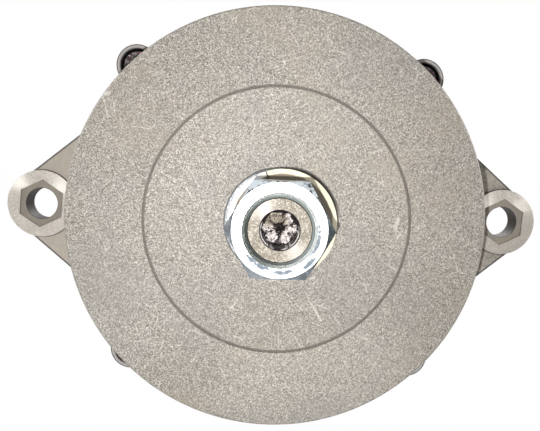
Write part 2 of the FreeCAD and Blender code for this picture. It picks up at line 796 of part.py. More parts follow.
def make_rotor_core():
    """The steel hub between the claw poles, the bobbin on it and the field coil."""
    bore = "(shaft_pole_radius + seat_clearance)"
    front = f"({ROTOR_FRONT} + pole_plate)"
    back = f"({ROTOR_BACK} - pole_plate)"
    finish("rotor_core", tube(bore, "pole_hub_radius", front, back))
    finish("coil_bobbin", turned_body("coil_bobbin", [
        ("pole_hub_radius + seat_clearance", front),
        ("coil_radius", front),
        ("coil_radius", f"{front} + bobbin_wall"),
        ("pole_hub_radius + bobbin_wall", f"{front} + bobbin_wall"),
        ("pole_hub_radius + bobbin_wall", f"{back} - bobbin_wall"),
        ("coil_radius", f"{back} - bobbin_wall"),
        ("coil_radius", back),
        ("pole_hub_radius + seat_clearance", back),
    ]))
    coil_front = f"({front} + bobbin_wall + seat_clearance)"
    coil_back = f"({back} - bobbin_wall - seat_clearance)"
    inside = "(pole_hub_radius + bobbin_wall + seat_clearance)"
    finish("field_coil", turned_body("field_coil", [
        (inside, coil_front),
        ("coil_radius - coil_crown", coil_front),
        ("coil_radius", f"{coil_front} + 2 * coil_crown"),
        ("coil_radius", f"{coil_back} - 2 * coil_crown"),
        ("coil_radius - coil_crown", coil_back),
        (inside, coil_back),
    ]))


def make_slip_rings():
    """The moulded insulator on the shaft tail and the two copper rings that it carries."""
    bore = "(shaft_tail_radius + seat_clearance)"
    seat = "(slip_ring_radius - slip_ring_thickness)"
    flange = "(slip_ring_radius - slip_flange_drop)"
    corners = [(bore, SLIP_FRONT), (flange, SLIP_FRONT)]
    for middle in (FIRST_RING, SECOND_RING):
        corners += [
            (flange, f"{middle} - slip_ring_width / 2"),
            (seat, f"{middle} - slip_ring_width / 2"),
            (seat, f"{middle} + slip_ring_width / 2"),
            (flange, f"{middle} + slip_ring_width / 2"),
        ]
    corners += [(flange, SLIP_BACK), (bore, SLIP_BACK)]
    finish("slip_ring_insulator", turned_body("slip_ring_insulator", corners))
    for node, middle in (("slip_ring_front", FIRST_RING), ("slip_ring_rear", SECOND_RING)):
        ends = (f"({middle} - slip_ring_width / 2)", f"({middle} + slip_ring_width / 2)")
        finish(node, tube(f"({seat} + seat_clearance)", "slip_ring_radius", ends[0], ends[1]))


# Bearings

def make_bearing(prefix, bore, outside, ball, front, width, count):
    """A sealed deep groove ball bearing in five sub-parts."""
    back = f"({front} + {width})"
    middle = f"({front} + {width} / 2)"
    pitch = f"(({bore} + {outside}) / 2)"

    def race():
        torus = doc.addObject("Part::Torus", "race")
        bind(torus, {"Radius1": pitch, "Radius2": f"{ball} + race_clearance"})
        return set_along_y(torus, "0", middle, "0")

    inner = tube(bore, f"({pitch} - race_shoulder)", front, back)
    outer = tube(f"({pitch} + race_shoulder)", outside, front, back)
    finish(f"{prefix}_bearing_inner_ring", without(inner, race()))
    finish(f"{prefix}_bearing_outer_ring", without(outer, race()))
    balls = []
    for step in range(int(number_of(count))):
        across, up = polar(pitch, f"90 + {step} * 360 / {count}")
        sphere = bind(doc.addObject("Part::Sphere", "ball"), {"Radius": ball})
        balls.append(set_along_y(sphere, across, middle, up))
    finish(f"{prefix}_bearing_balls", set_of(balls))
    half = f"({ball} + cage_web)"
    cage = turned_body(f"{prefix}_bearing_cage", [
        (f"{pitch} - cage_thickness / 2", f"{middle} - {half}"),
        (f"{pitch} + cage_thickness / 2", f"{middle} - {half}"),
        (f"{pitch} + cage_thickness / 2", f"{middle} + {half}"),
        (f"{pitch} - cage_thickness / 2", f"{middle} + {half}"),
    ])
    seat = new_sketch(cage, "XY_Plane", f"{pitch} + cage_thickness")
    draw_circle(seat, "0", middle, f"{ball} + pocket_clearance")
    ball_pocket = cage.newObject("PartDesign::Pocket", "ball_pocket")
    ball_pocket.Profile = seat
    bind(ball_pocket, {"Length": f"{pitch} + cage_thickness"})
    repeat(cage, ball_pocket, count)
    finish(f"{prefix}_bearing_cage", cage)
    lips = (f"({pitch} - race_shoulder + seal_lip_gap)", f"({pitch} + race_shoulder)")
    front_seal = (f"({front} + seal_inset)", f"({front} + seal_inset + seal_thickness)")
    back_seal = (f"({back} - seal_inset - seal_thickness)", f"({back} - seal_inset)")
    seals = [tube(lips[0], lips[1], near, far) for near, far in (front_seal, back_seal)]
    finish(f"{prefix}_bearing_seals", set_of(seals))


def make_bearing_retainer():
    """The plate and countersunk screws that hold the front bearing in its boss."""
    plate = turned_body("bearing_retainer", [
        ("retainer_inner_radius", FRONT_BEARING_BACK),
        ("retainer_outer_radius", FRONT_BEARING_BACK),
        ("retainer_outer_radius", f"{RETAINER_BACK} - small_chamfer"),
        ("retainer_outer_radius - small_chamfer", RETAINER_BACK),
        ("retainer_inner_radius", RETAINER_BACK),
    ])

    holes = circled(RETAINER_SCREW_PLACES, "retainer_screw_radius + thread_clearance")
    pocket(plate, f"({FRONT_BEARING_BACK} - 1)", f"({RETAINER_BACK} + 1)", holes)
    finish("bearing_retainer", plate)
    screws = []
    for place in RETAINER_SCREW_PLACES:
        tip = f"({FRONT_BEARING_BACK} - retainer_screw_length + screw_tip_gap)"
        shank = rod("retainer_screw_radius", tip, RETAINER_BACK, place)
        head = rod("retainer_head_radius", RETAINER_BACK, f"({RETAINER_BACK} + retainer_head_height)", place)
        screws.append(joined(shank, head))
    finish("retainer_screws", set_of(screws))


# Housings

def make_drive_end_housing():
    """The front casting: vented wall, bearing boss, two ears and four bolt lugs."""
    housing = turned_body("drive_end_housing", [
        ("0", FRONT_BOSS),
        ("front_boss_radius - front_boss_taper", FRONT_BOSS),
        ("front_boss_radius", FRONT_FACE),
        (f"{HOUSING_RADIUS} - housing_edge", FRONT_FACE),
        (HOUSING_RADIUS, f"{FRONT_FACE} + housing_edge"),
        (HOUSING_RADIUS, FRONT_RIM),
        ("0", FRONT_RIM),
    ])
    lean = f"(({WEB_ROOT} - {WEB_TIP}) / (ear_spacing / 2))"
    rise = f"(sqrt(1 - {lean} * {lean}))"
    web_front = f"({EAR_FRONT} + ear_web_setback)"

    def webs(sketch):
        for side in ("1", "-1"):
            root = f"{side} * {WEB_ROOT} * {lean}"
            tip = f"{side} * (ear_spacing / 2 + {WEB_TIP} * {lean})"
            draw_outline(sketch, [
                (root, f"{WEB_ROOT} * {rise}"),
                (tip, f"{WEB_TIP} * {rise}"),
                (tip, f"-{WEB_TIP} * {rise}"),
                (root, f"-{WEB_ROOT} * {rise}"),
            ])

    def ear_recesses(sketch):
        for across, up in EAR_PLACES:
            draw_outline(sketch, hexagon_corners(across, up, "ear_recess_flats", "30 - ear_recess_turn"))

    pad(housing, web_front, "0", webs)
    pad(housing, EAR_FRONT, "0", circled(EAR_PLACES, "ear_radius"))
    pad(housing, LUG_FRONT, FRONT_RIM, circled(LUG_PLACES, "lug_radius"))
    groove(housing, [
        ("0", f"{FRONT_BOSS} - 1"),
        ("collar_radius + collar_gap", f"{FRONT_BOSS} - 1"),
        ("collar_radius + collar_gap", FRONT_BEARING),
        ("front_bearing_radius + seat_clearance", FRONT_BEARING),
        ("front_bearing_radius + seat_clearance", FRONT_BEARING_BACK),
        ("front_boss_radius", FRONT_BEARING_BACK),
        ("front_boss_radius", FRONT_WALL_BACK),
        (f"{HOUSING_INSIDE} - housing_edge / 2", FRONT_WALL_BACK),
        (HOUSING_INSIDE, f"{FRONT_WALL_BACK} + housing_edge / 2"),
        (HOUSING_INSIDE, STATOR_FRONT),
        (SPIGOT_RADIUS, STATOR_FRONT),
        (SPIGOT_RADIUS, f"{FRONT_RIM} + 1"),
        ("0", f"{FRONT_RIM} + 1"),
    ])
    pocket(housing, f"({EAR_FRONT} - 1)", f"({EAR_FRONT} + ear_recess_depth)", ear_recesses)
    pocket(housing, f"({EAR_FRONT} - 1)", "1", circled(EAR_PLACES, "ear_hole / 2"))
    pocket(housing, f"({LUG_FRONT} - 1)", BOLT_SEAT, circled(LUG_PLACES, "lug_counterbore / 2"))
    pocket(housing, BOLT_SEAT, f"({FRONT_RIM} + 1)", circled(LUG_PLACES, "lug_bolt_hole / 2"))

    retainer_holes = circled(RETAINER_SCREW_PLACES, "retainer_screw_radius + thread_clearance")
    screw_bottom = f"({FRONT_BEARING_BACK} - retainer_screw_length)"
    pocket(housing, screw_bottom, f"({FRONT_BEARING_BACK} + 1)", retainer_holes)
    window = vent_corners("vent_inner_radius", VENT_OUTER)
    ends = (f"({FRONT_FACE} - 1)", f"({FRONT_WALL_BACK} + 1)")
    repeat(housing, pocket(housing, ends[0], ends[1], outlined(window)), "vent_count")
    finish("drive_end_housing", housing)


def vent_corners(inner, outer):
    """A tapered air window that points away from the shaft."""
    return [
        (inner, "-vent_inner_width / 2"),
        (outer, "-vent_outer_width / 2"),
        (outer, "vent_outer_width / 2"),
        (inner, "vent_inner_width / 2"),
    ]


def make_rear_housing():
    """The rear casting: vented wall and side, bearing boss, tapped lugs and screw holes."""
    housing = turned_body("rear_housing", [
        ("0", REAR_RIM),
        (HOUSING_RADIUS, REAR_RIM),
        (HOUSING_RADIUS, f"{REAR_FACE} - housing_edge"),
        (f"{HOUSING_RADIUS} - housing_edge", REAR_FACE),
        ("0", REAR_FACE),
    ])
    pad(housing, REAR_RIM, REAR_LUG_BACK, circled(LUG_PLACES, "lug_radius"))
    groove(housing, [
        ("0", f"{REAR_RIM} - 1"),
        (SPIGOT_RADIUS, f"{REAR_RIM} - 1"),
        (SPIGOT_RADIUS, STATOR_BACK),
        (HOUSING_INSIDE, STATOR_BACK),
        (HOUSING_INSIDE, f"{REAR_WALL_FRONT} - housing_edge / 2"),
        (f"{HOUSING_INSIDE} - housing_edge / 2", REAR_WALL_FRONT),
        ("rear_boss_radius", REAR_WALL_FRONT),
        ("rear_boss_radius", REAR_BEARING),
        ("rear_bearing_radius + seat_clearance", REAR_BEARING),
        ("rear_bearing_radius + seat_clearance", REAR_BEARING_BACK),
        ("rear_lip_radius", REAR_BEARING_BACK),
        ("rear_lip_radius", f"{REAR_FACE} + 1"),
        ("0", f"{REAR_FACE} + 1"),
    ])
    lug_tap = "bolt_diameter / 2 + thread_clearance"
    pocket(housing, f"({REAR_RIM} - 1)", f"({REAR_LUG_BACK} + 1)", circled(LUG_PLACES, lug_tap))

    def screw_holes(sketch):
        draw_circle(sketch, GROUND_PLACE[0], GROUND_PLACE[1], "ground_stud_radius + thread_clearance")
        small_places = RECTIFIER_SCREW_PLACES + HOLDER_SCREW_PLACES
        circled(small_places, "rectifier_screw_radius + thread_clearance")(sketch)
        circled(COVER_SCREW_PLACES, "cover_screw_radius + thread_clearance")(sketch)

    pocket(housing, f"({REAR_WALL_FRONT} - 1)", f"({REAR_FACE} + 1)", screw_holes)
    straight_vent = vent_corners("rear_vent_inner_radius", f"{VENT_OUTER} + rear_vent_longer")
    vent = turned_corners(straight_vent, "rear_vent_turn")
    ends = (f"({REAR_WALL_FRONT} - 1)", f"({REAR_FACE} + 1)")
    repeat(housing, pocket(housing, ends[0], ends[1], outlined(vent)), "side_vent_count")
    side = new_sketch(housing, "XY_Plane", f"{HOUSING_RADIUS} + 2")
    draw_outline(side, [
        ("-side_vent_width / 2", f"{STATOR_BACK} + side_vent_margin"),
        ("side_vent_width / 2", f"{STATOR_BACK} + side_vent_margin"),
        ("side_vent_width / 2", f"{REAR_WALL_FRONT} - side_vent_margin"),
        ("-side_vent_width / 2", f"{REAR_WALL_FRONT} - side_vent_margin"),
    ])
    window = housing.newObject("PartDesign::Pocket", "side_window")
    window.Profile = side
    bind(window, {"Length": "housing_wall + 6"})
    repeat(housing, window, "side_vent_count")
    finish("rear_housing", housing)


def turned_corners(corners, angle):
    """Corners turned about the shaft axis."""
    turned = []
    for across, up in corners:
        side = f"({across}) * cos({angle}) - ({up}) * sin({angle})"
        rise = f"({across}) * sin({angle}) + ({up}) * cos({angle})"
        turned.append((side, rise))
    return turned


def make_through_bolts():
    """The four socket head bolts that clamp the two housings on the stator."""
    bolts = []
    for place in LUG_PLACES:
        head_front = f"({BOLT_SEAT} - bolt_head_height)"
        head = rod("bolt_head_diameter / 2", head_front, BOLT_SEAT, place)
        floor = f"({head_front} + bolt_socket_depth)"
        socket = hexagon_rod("bolt_socket_flats", f"({head_front} - 1)", floor, place)
        shank = rod("bolt_diameter / 2", BOLT_SEAT, f"({REAR_LUG_BACK} - bolt_tip_short)", place)
        bolts.append(without(joined(head, shank), socket))
    finish("through_bolts", set_of(bolts))


# Stator

def make_stator_core():
    """The laminated ring with its slots and the weld grooves outside."""
    core = turned_body("stator_core", [
        (STATOR_BORE, STATOR_FRONT),
        ("stator_radius", STATOR_FRONT),
        ("stator_radius", STATOR_BACK),
        (STATOR_BORE, STATOR_BACK),
    ])
    lip = f"({STATOR_BORE} + slot_lip)"
    slot = [
        (f"{STATOR_BORE} - 1", "-slot_mouth / 2"),
        (lip, "-slot_mouth / 2"),
        (f"{lip} + slot_taper", "-slot_width / 2"),
        (SLOT_BOTTOM, "-slot_width / 2"),
        (SLOT_BOTTOM, "slot_width / 2"),
        (f"{lip} + slot_taper", "slot_width / 2"),
        (lip, "slot_mouth / 2"),
        (f"{STATOR_BORE} - 1", "slot_mouth / 2"),
    ]
    ends = (f"({STATOR_FRONT} - 1)", f"({STATOR_BACK} + 1)")
    repeat(core, pocket(core, ends[0], ends[1], outlined(slot)), "slot_count")
    seam = [polar("stator_radius + weld_groove_proud", "weld_groove_angle")]
    weld = pocket(core, ends[0], ends[1], circled(seam, "weld_groove_radius"))
    repeat(core, weld, "weld_groove_count")
    finish("stator_core", core)


def make_phase_winding(node, phase):
    """One phase: a wave of coil sides in every third slot and the end turns between them."""
    first = f"({phase} * 360 / slot_count)"
    pitch = "(3 * 360 / slot_count)"
    reach = f"(end_turn_lift + {phase} * (end_turn_height + end_turn_gap) + end_turn_height)"
    front = f"({STATOR_FRONT} - {reach})"
    back = f"({STATOR_BACK} + {reach})"
    inside = f"({STATOR_BORE} + slot_lip + slot_taper + slot_clearance)"
    outside = f"({SLOT_BOTTOM} - slot_clearance - coil_side_margin)"
    side = [
        (inside, "-coil_side_width / 2"),
        (outside, "-coil_side_width / 2"),
        (outside, "coil_side_width / 2"),
        (inside, "coil_side_width / 2"),
    ]
    winding = new_body(node)
    sides = pad(winding, front, back, outlined(turned_corners(side, first)))
    repeat(winding, sides, "slot_count / 3")

    def end_turn(start):
        half = f"(coil_side_width / 2 / {END_TURN_OUTER} * {DEGREES})"
        low, high = f"{start} - {half}", f"{start} + {pitch} + {half}"
        return [
            polar(f"{outside} - 1", low),
            polar(END_TURN_OUTER, low) + (END_TURN_OUTER,),
            polar(END_TURN_OUTER, high),
            polar(f"{outside} - 1", high),
            polar(f"{outside} - 1", f"{high} - 2 * {half}"),
            polar(END_TURN_INNER, f"{high} - 2 * {half}") + (f"-{END_TURN_INNER}",),
            polar(END_TURN_INNER, f"{low} + 2 * {half}"),
            polar(f"{outside} - 1", f"{low} + 2 * {half}"),
        ]

    front_turn = end_turn(first)
    rear_turn = end_turn(f"{first} + {pitch}")
    front_ends = (front, f"({front} + end_turn_height)")
    rear_ends = (f"({back} - end_turn_height)", back)
    for ends, turn in ((front_ends, front_turn), (rear_ends, rear_turn)):
        repeat(winding, pad(winding, ends[0], ends[1], outlined(turn)), "slot_count / 6")
    finish(node, winding)


# Rectifier under the rear cover

RECTIFIER_SCREW_PLACES = [polar(RECTIFIER_SCREW_CIRCLE, angle) for angle in (195, 270, 330)]
COVER_SCREW_PLACES = [polar(COVER_SCREW_CIRCLE, angle) for angle in (30, 150, 210, 330)]
LEAD_ANGLES = (255, 285, 315)
EXCITER_ANGLES = (240, 270, 300)
HOLDER_SCREW_ASIDE = f"({HOLDER_HALF} + holder_tab_reach / 2)"
HOLDER_SCREW_UP = f"{HOLDER_TOP} - holder_screw_drop"
HOLDER_SCREW_PLACES = [(f"{side} * {HOLDER_SCREW_ASIDE}", HOLDER_SCREW_UP) for side in (-1, 1)]
DIODE_ANGLES = [f"(270 + ({step}) * diode_pitch - diode_stagger / 2)" for step in (-1, 0, 1)]
LIFTED_DIODE_ANGLES = [f"({angle} + diode_stagger)" for angle in DIODE_ANGLES]
OUTPUT_PLACE = polar(f"{COVER_RADIUS} - output_stud_margin", "output_stud_angle")
GROUND_PLACE = polar(f"{COVER_RADIUS} - ground_stud_margin", "ground_stud_angle")
PLUG_CENTRE = (f"((regulator_inner + {REGULATOR_SIDE}) / 2)", f"((regulator_bottom + {REGULATOR_TOP}) / 2)")


def make_heat_sink(node, front, diode_angles, other_holes):
    """A crescent plate with a seat for each diode and clearance holes."""
    back = f"({front} + sink_thickness)"
    ring = tube(SINK_INNER, SINK_OUTER, front, back)
    reach = f"({SINK_OUTER} + 2)"
    upper_half = block((f"-{reach}", f"{front} - 1", "-sink_top"), (reach, f"{back} + 1", reach))
    seats = [(polar(DIODE_CIRCLE, angle), "diode_radius + seat_clearance") for angle in diode_angles]
    holes = [rod(radius, f"({front} - 1)", f"({back} + 1)", place) for place, radius in seats + other_holes]
    finish(node, without(ring, upper_half, *holes))


def make_rectifier():
    """Two heat sinks with their diodes, spacers and screws, and the terminal board."""
    screw_hole = "(rectifier_screw_radius + screw_hole_clearance)"
    screw_holes = [(place, screw_hole) for place in RECTIFIER_SCREW_PLACES]
    output_hole = [(OUTPUT_PLACE, "(output_stud_radius + thread_clearance)")]
    make_heat_sink("ground_heat_sink", REAR_FACE, DIODE_ANGLES, screw_holes)
    make_heat_sink("output_heat_sink", REAR_SINK_FRONT, LIFTED_DIODE_ANGLES, screw_holes + output_hole)
    for node, angles, base, towards in (
        ("ground_diodes", DIODE_ANGLES, REAR_FACE, "1"),
        ("output_diodes", LIFTED_DIODE_ANGLES, REAR_SINK_BACK, "-1"),
    ):
        diodes = []
        for angle in angles:
            place = polar(DIODE_CIRCLE, angle)
            ends = sorted((f"({base})", f"({base} + ({towards}) * diode_height)"), key=number_of)
            can = rod("diode_radius", ends[0], ends[1], place)
            lead_end = f"({base} + ({towards}) * (diode_height + diode_lead_length))"
            lead_ends = sorted((f"({base} + ({towards}) * diode_height / 2)", lead_end), key=number_of)
            diodes.append(joined(can, rod("diode_lead_radius", lead_ends[0], lead_ends[1], place)))
        finish(node, set_of(diodes))
    spacers = []
    screws = []
    for place in RECTIFIER_SCREW_PLACES:
        spacer_front = f"({REAR_FACE} + sink_thickness)"
        spacers.append(tube(screw_hole, "spacer_radius", spacer_front, REAR_SINK_FRONT, place))
        shank = rod("rectifier_screw_radius", f"({REAR_WALL_FRONT} + screw_tip_gap)", REAR_SINK_BACK, place)
        head = rod("screw_head_radius", REAR_SINK_BACK, f"({REAR_SINK_BACK} + screw_head_height)", place)
        screws.append(joined(shank, head))
    finish("heat_sink_spacers", set_of(spacers))
    finish("rectifier_screws", set_of(screws))


def make_terminal_board():
    """The moulded board between the heat sinks that joins the stator leads to the diodes."""
    front = f"({REAR_FACE} + sink_thickness + sink_spacing / 2 - terminal_board_thickness / 2)"
    back = f"({front} + terminal_board_thickness)"
    ring = tube(BOARD_INNER, BOARD_OUTER, front, back)
    reach = f"({BOARD_OUTER} + 2)"
    upper = block((f"-{reach}", f"{front} - 1", "-terminal_board_top"), (reach, f"{back} + 1", reach))
    lead_places = [polar(LEAD_CIRCLE, angle) for angle in LEAD_ANGLES]
    lead_hole = "(stator_lead_radius + lead_clearance)"
    holes = [rod(lead_hole, f"({front} - 1)", f"({back} + 1)", place) for place in lead_places]
    finish("terminal_board", without(ring, upper, *holes))
    start = f"({STATOR_BACK} + end_turn_lift + 3 * end_turn_height + 2 * end_turn_gap + lead_tail_gap)"
    tail = f"({back} + stator_lead_proud)"
    leads = [rod("stator_lead_radius", start, tail, place) for place in lead_places]
    finish("stator_leads", set_of(leads))
    diodes = []
    for angle in EXCITER_ANGLES:
        place = polar(f"{LEAD_CIRCLE} - exciter_diode_inset", angle)
        diodes.append(rod("exciter_diode_radius", back, f"({back} + exciter_diode_length)", place))
    finish("exciter_diodes", set_of(diodes))


def stud_end(radius, front, tip, place):
    """The free end of a stud, with a chamfered tip."""
    shank = rod(radius, front, f"({tip} - stud_tip_chamfer)", place)
    cone = doc.addObject("Part::Cone", "chamfered_tip")
    bind(cone, {"Radius1": radius, "Radius2": f"{radius} - stud_tip_chamfer", "Height": "stud_tip_chamfer"})
    return joined(shank, set_along_y(cone, place[0], f"{tip} - stud_tip_chamfer", place[1]))


def make_output_stud():
    """The output stud in the upper heat sink, its insulating bush, washer and clamp nut.

    The stud steps down behind the nut, where the cable terminal goes.
    """
    head_front = f"({REAR_SINK_FRONT} - output_head_height)"
    tip = f"({COVER_BACK} + output_stud_length)"
    bore = "(output_stud_radius + thread_clearance)"
    washer_front = f"({COVER_BACK} + bush_flange)"
    washer_back = f"({washer_front} + output_washer_height)"
    nut_back = f"({washer_back} + stud_nut_height)"
    head = hexagon_rod("stud_nut_flats", head_front, REAR_SINK_FRONT, OUTPUT_PLACE)
    shank = rod("output_stud_radius", REAR_SINK_FRONT, nut_back, OUTPUT_PLACE)
    free_end = stud_end("output_free_radius", nut_back, tip, OUTPUT_PLACE)
    finish("output_stud", joined(head, shank, free_end))
    neck = tube(bore, "bush_neck_radius", REAR_SINK_BACK, COVER_BACK, OUTPUT_PLACE)
    flange = tube(bore, "bush_radius", COVER_BACK, washer_front, OUTPUT_PLACE)
    finish("output_bush", joined(neck, flange))
    finish("output_washer", tube(bore, "bush_radius - 1", washer_front, washer_back, OUTPUT_PLACE))
    nut = hexagon_rod("stud_nut_flats", washer_back, nut_back, OUTPUT_PLACE)
    finish("output_nut", without(nut, rod(bore, f"({washer_back} - 1)", f"({nut_back} + 1)", OUTPUT_PLACE)))


def make_ground_stud():
    """The ground stud screwed into the rear wall, stepped down behind its nut outside the cover."""
    tip = f"({COVER_BACK} + ground_stud_length)"
    nut_back = f"({COVER_BACK} + ground_nut_height)"
    shank = rod("ground_stud_radius", f"({REAR_WALL_FRONT} + screw_tip_gap)", nut_back, GROUND_PLACE)
    collar = hexagon_rod("ground_nut_flats", REAR_FACE, f"({COVER_BACK} - cover_wall)", GROUND_PLACE)
    free_end = stud_end("ground_free_radius", nut_back, tip, GROUND_PLACE)
    finish("ground_stud", joined(shank, collar, free_end))
    nut = hexagon_rod("ground_nut_flats", COVER_BACK, nut_back, GROUND_PLACE)
    thread = "ground_stud_radius + thread_clearance"
    finish("ground_nut", without(nut, rod(thread, f"({COVER_BACK} - 1)", f"({nut_back} + 1)", GROUND_PLACE)))


# Brushes, regulator and capacitor

def make_brushes():
    """The two carbon brushes, each with a hollow foot that follows its slip ring."""
    for node, middle in (("brush_front", FIRST_RING), ("brush_rear", SECOND_RING)):
        brush = block(
            ("-brush_across / 2", f"{middle} - brush_along / 2", f"{BRUSH_BOTTOM} - 1"),
            ("brush_across / 2", f"{middle} + brush_along / 2", BRUSH_TOP),
        )
        near, far = f"({middle} - brush_along)", f"({middle} + brush_along)"
        finish(node, without(brush, rod(BRUSH_BOTTOM, near, far)))


def make_brush_springs():
    """The coil spring above each brush."""
    for node, middle in (("brush_spring_front", FIRST_RING), ("brush_spring_rear", SECOND_RING)):
        length = "(brush_spring_length - 2 * brush_spring_wire - 2 * brush_spring_gap)"
        helix = doc.addObject("Part::Helix", "spring_path")
        bind(helix, {"Pitch": f"{length} / brush_spring_turns", "Height": length})
        bind(helix, {"Radius": "brush_spring_radius"})
        wire = doc.addObject("Part::RegularPolygon", "spring_wire")
        wire.Polygon = 6
        bind(wire, {"Circumradius": "brush_spring_wire"})
        wire.Placement = FreeCAD.Placement(FreeCAD.Vector(), FreeCAD.Rotation(FreeCAD.Vector(1, 0, 0), 90))
        bind(wire, {"Placement.Base.x": "brush_spring_radius"})
        spring = doc.addObject("Part::Sweep", "spring")
        spring.Sections = [wire]
        spring.Spine = (helix, [])
        spring.Solid = True
        spring.Frenet = True
        foot = f"{BRUSH_TOP} + brush_spring_wire + brush_spring_gap"
        bind(spring, {"Placement.Base.y": middle, "Placement.Base.z": foot})
        finish(node, spring)


def make_brush_holder():
    """The moulded holder: one pocket to each brush, a closed top and two screw tabs."""
    front = f"({FIRST_RING} - brush_along / 2 - brush_clearance - brush_holder_wall)"
    back = f"({SECOND_RING} + brush_along / 2 + brush_clearance + brush_holder_wall)"
    shell = block((f"-{HOLDER_HALF}", front, HOLDER_BOTTOM), (HOLDER_HALF, back, HOLDER_TOP))
    half_across = "(brush_across / 2 + brush_clearance)"
    half_along = "(brush_along / 2 + brush_clearance)"
    pockets = []
    for middle in (FIRST_RING, SECOND_RING):
        pockets.append(block(
            (f"-{half_across}", f"{middle} - {half_along}", f"{HOLDER_BOTTOM} - 1"),
            (half_across, f"{middle} + {half_along}", HOLDER_ROOF),
        ))
    tab_end = f"({HOLDER_HALF} + holder_tab_reach)"
    tab_bottom = f"({HOLDER_TOP} - holder_tab_height)"
    seat = f"({REAR_FACE} + holder_tab_thickness)"
    tab = block((f"-{tab_end}", REAR_FACE, tab_bottom), (tab_end, seat, HOLDER_TOP))
    stem = block((f"-{HOLDER_HALF}", REAR_FACE, tab_bottom), (HOLDER_HALF, back, HOLDER_TOP))
    hole = "(rectifier_screw_radius + screw_hole_clearance)"
    holes = [rod(hole, f"({REAR_FACE} - 1)", f"({seat} + 1)", place) for place in HOLDER_SCREW_PLACES]
    finish("brush_holder", without(joined(shell, tab, stem), *pockets, *holes))
    screws = []
    for place in HOLDER_SCREW_PLACES:
        shank = rod("rectifier_screw_radius", f"({REAR_WALL_FRONT} + screw_tip_gap)", seat, place)
        head = rod("screw_head_radius", seat, f"({seat} + screw_head_height)", place)
        screws.append(joined(shank, head))
    finish("holder_screws", set_of(screws))


def make_regulator():
    """The potted regulator with its plug shroud through the cover, and three blade pins."""
    across, up = PLUG_CENTRE
    near_corner = ("regulator_inner", REGULATOR_FRONT, "regulator_bottom")
    body = block(near_corner, (REGULATOR_SIDE, REGULATOR_BACK, REGULATOR_TOP))
    mouth = f"({REGULATOR_BACK} + plug_length)"
    floor = f"({REGULATOR_BACK} + plug_floor)"
    shroud = block(
        (f"{across} - plug_width / 2", REGULATOR_BACK, f"{up} - plug_height / 2"),
        (f"{across} + plug_width / 2", mouth, f"{up} + plug_height / 2"),
    )
    cavity = block(
        (f"{across} - plug_width / 2 + plug_wall", floor, f"{up} - plug_height / 2 + plug_wall"),
        (f"{across} + plug_width / 2 - plug_wall", f"{mouth} + 1", f"{up} + plug_height / 2 - plug_wall"),
    )
    foot_side = f"{REGULATOR_SIDE} - regulator_foot_inset"
    foot = block(
        ("regulator_inner + regulator_foot_inset", REAR_FACE, "regulator_bottom + regulator_standoff"),
        (foot_side, REGULATOR_FRONT, "regulator_bottom + regulator_foot_top"),
    )
    finish("regulator", without(joined(body, shroud, foot), cavity))
    pins = []
    for step in (-1, 0, 1):
        middle = f"({across} + ({step}) * pin_pitch)"
        pins.append(block(
            (f"{middle} - pin_width / 2", floor, f"{up} - pin_thickness / 2"),
            (f"{middle} + pin_width / 2", f"{mouth} - pin_setback", f"{up} + pin_thickness / 2"),
        ))
    finish("regulator_pins", set_of(pins))


def make_capacitor():
    """The round suppression capacitor on its foot on the rear wall."""
    place = (f"-({COVER_RADIUS} - capacitor_side_margin)", f"{COVER_RADIUS} - capacitor_top_margin")
    front = f"({REAR_FACE} + capacitor_foot_height)"
    can = rod("capacitor_radius", front, f"({front} + capacitor_length)", place)
    foot = rod("capacitor_foot_radius", REAR_FACE, front, place)
    finish("suppression_capacitor", joined(can, foot))


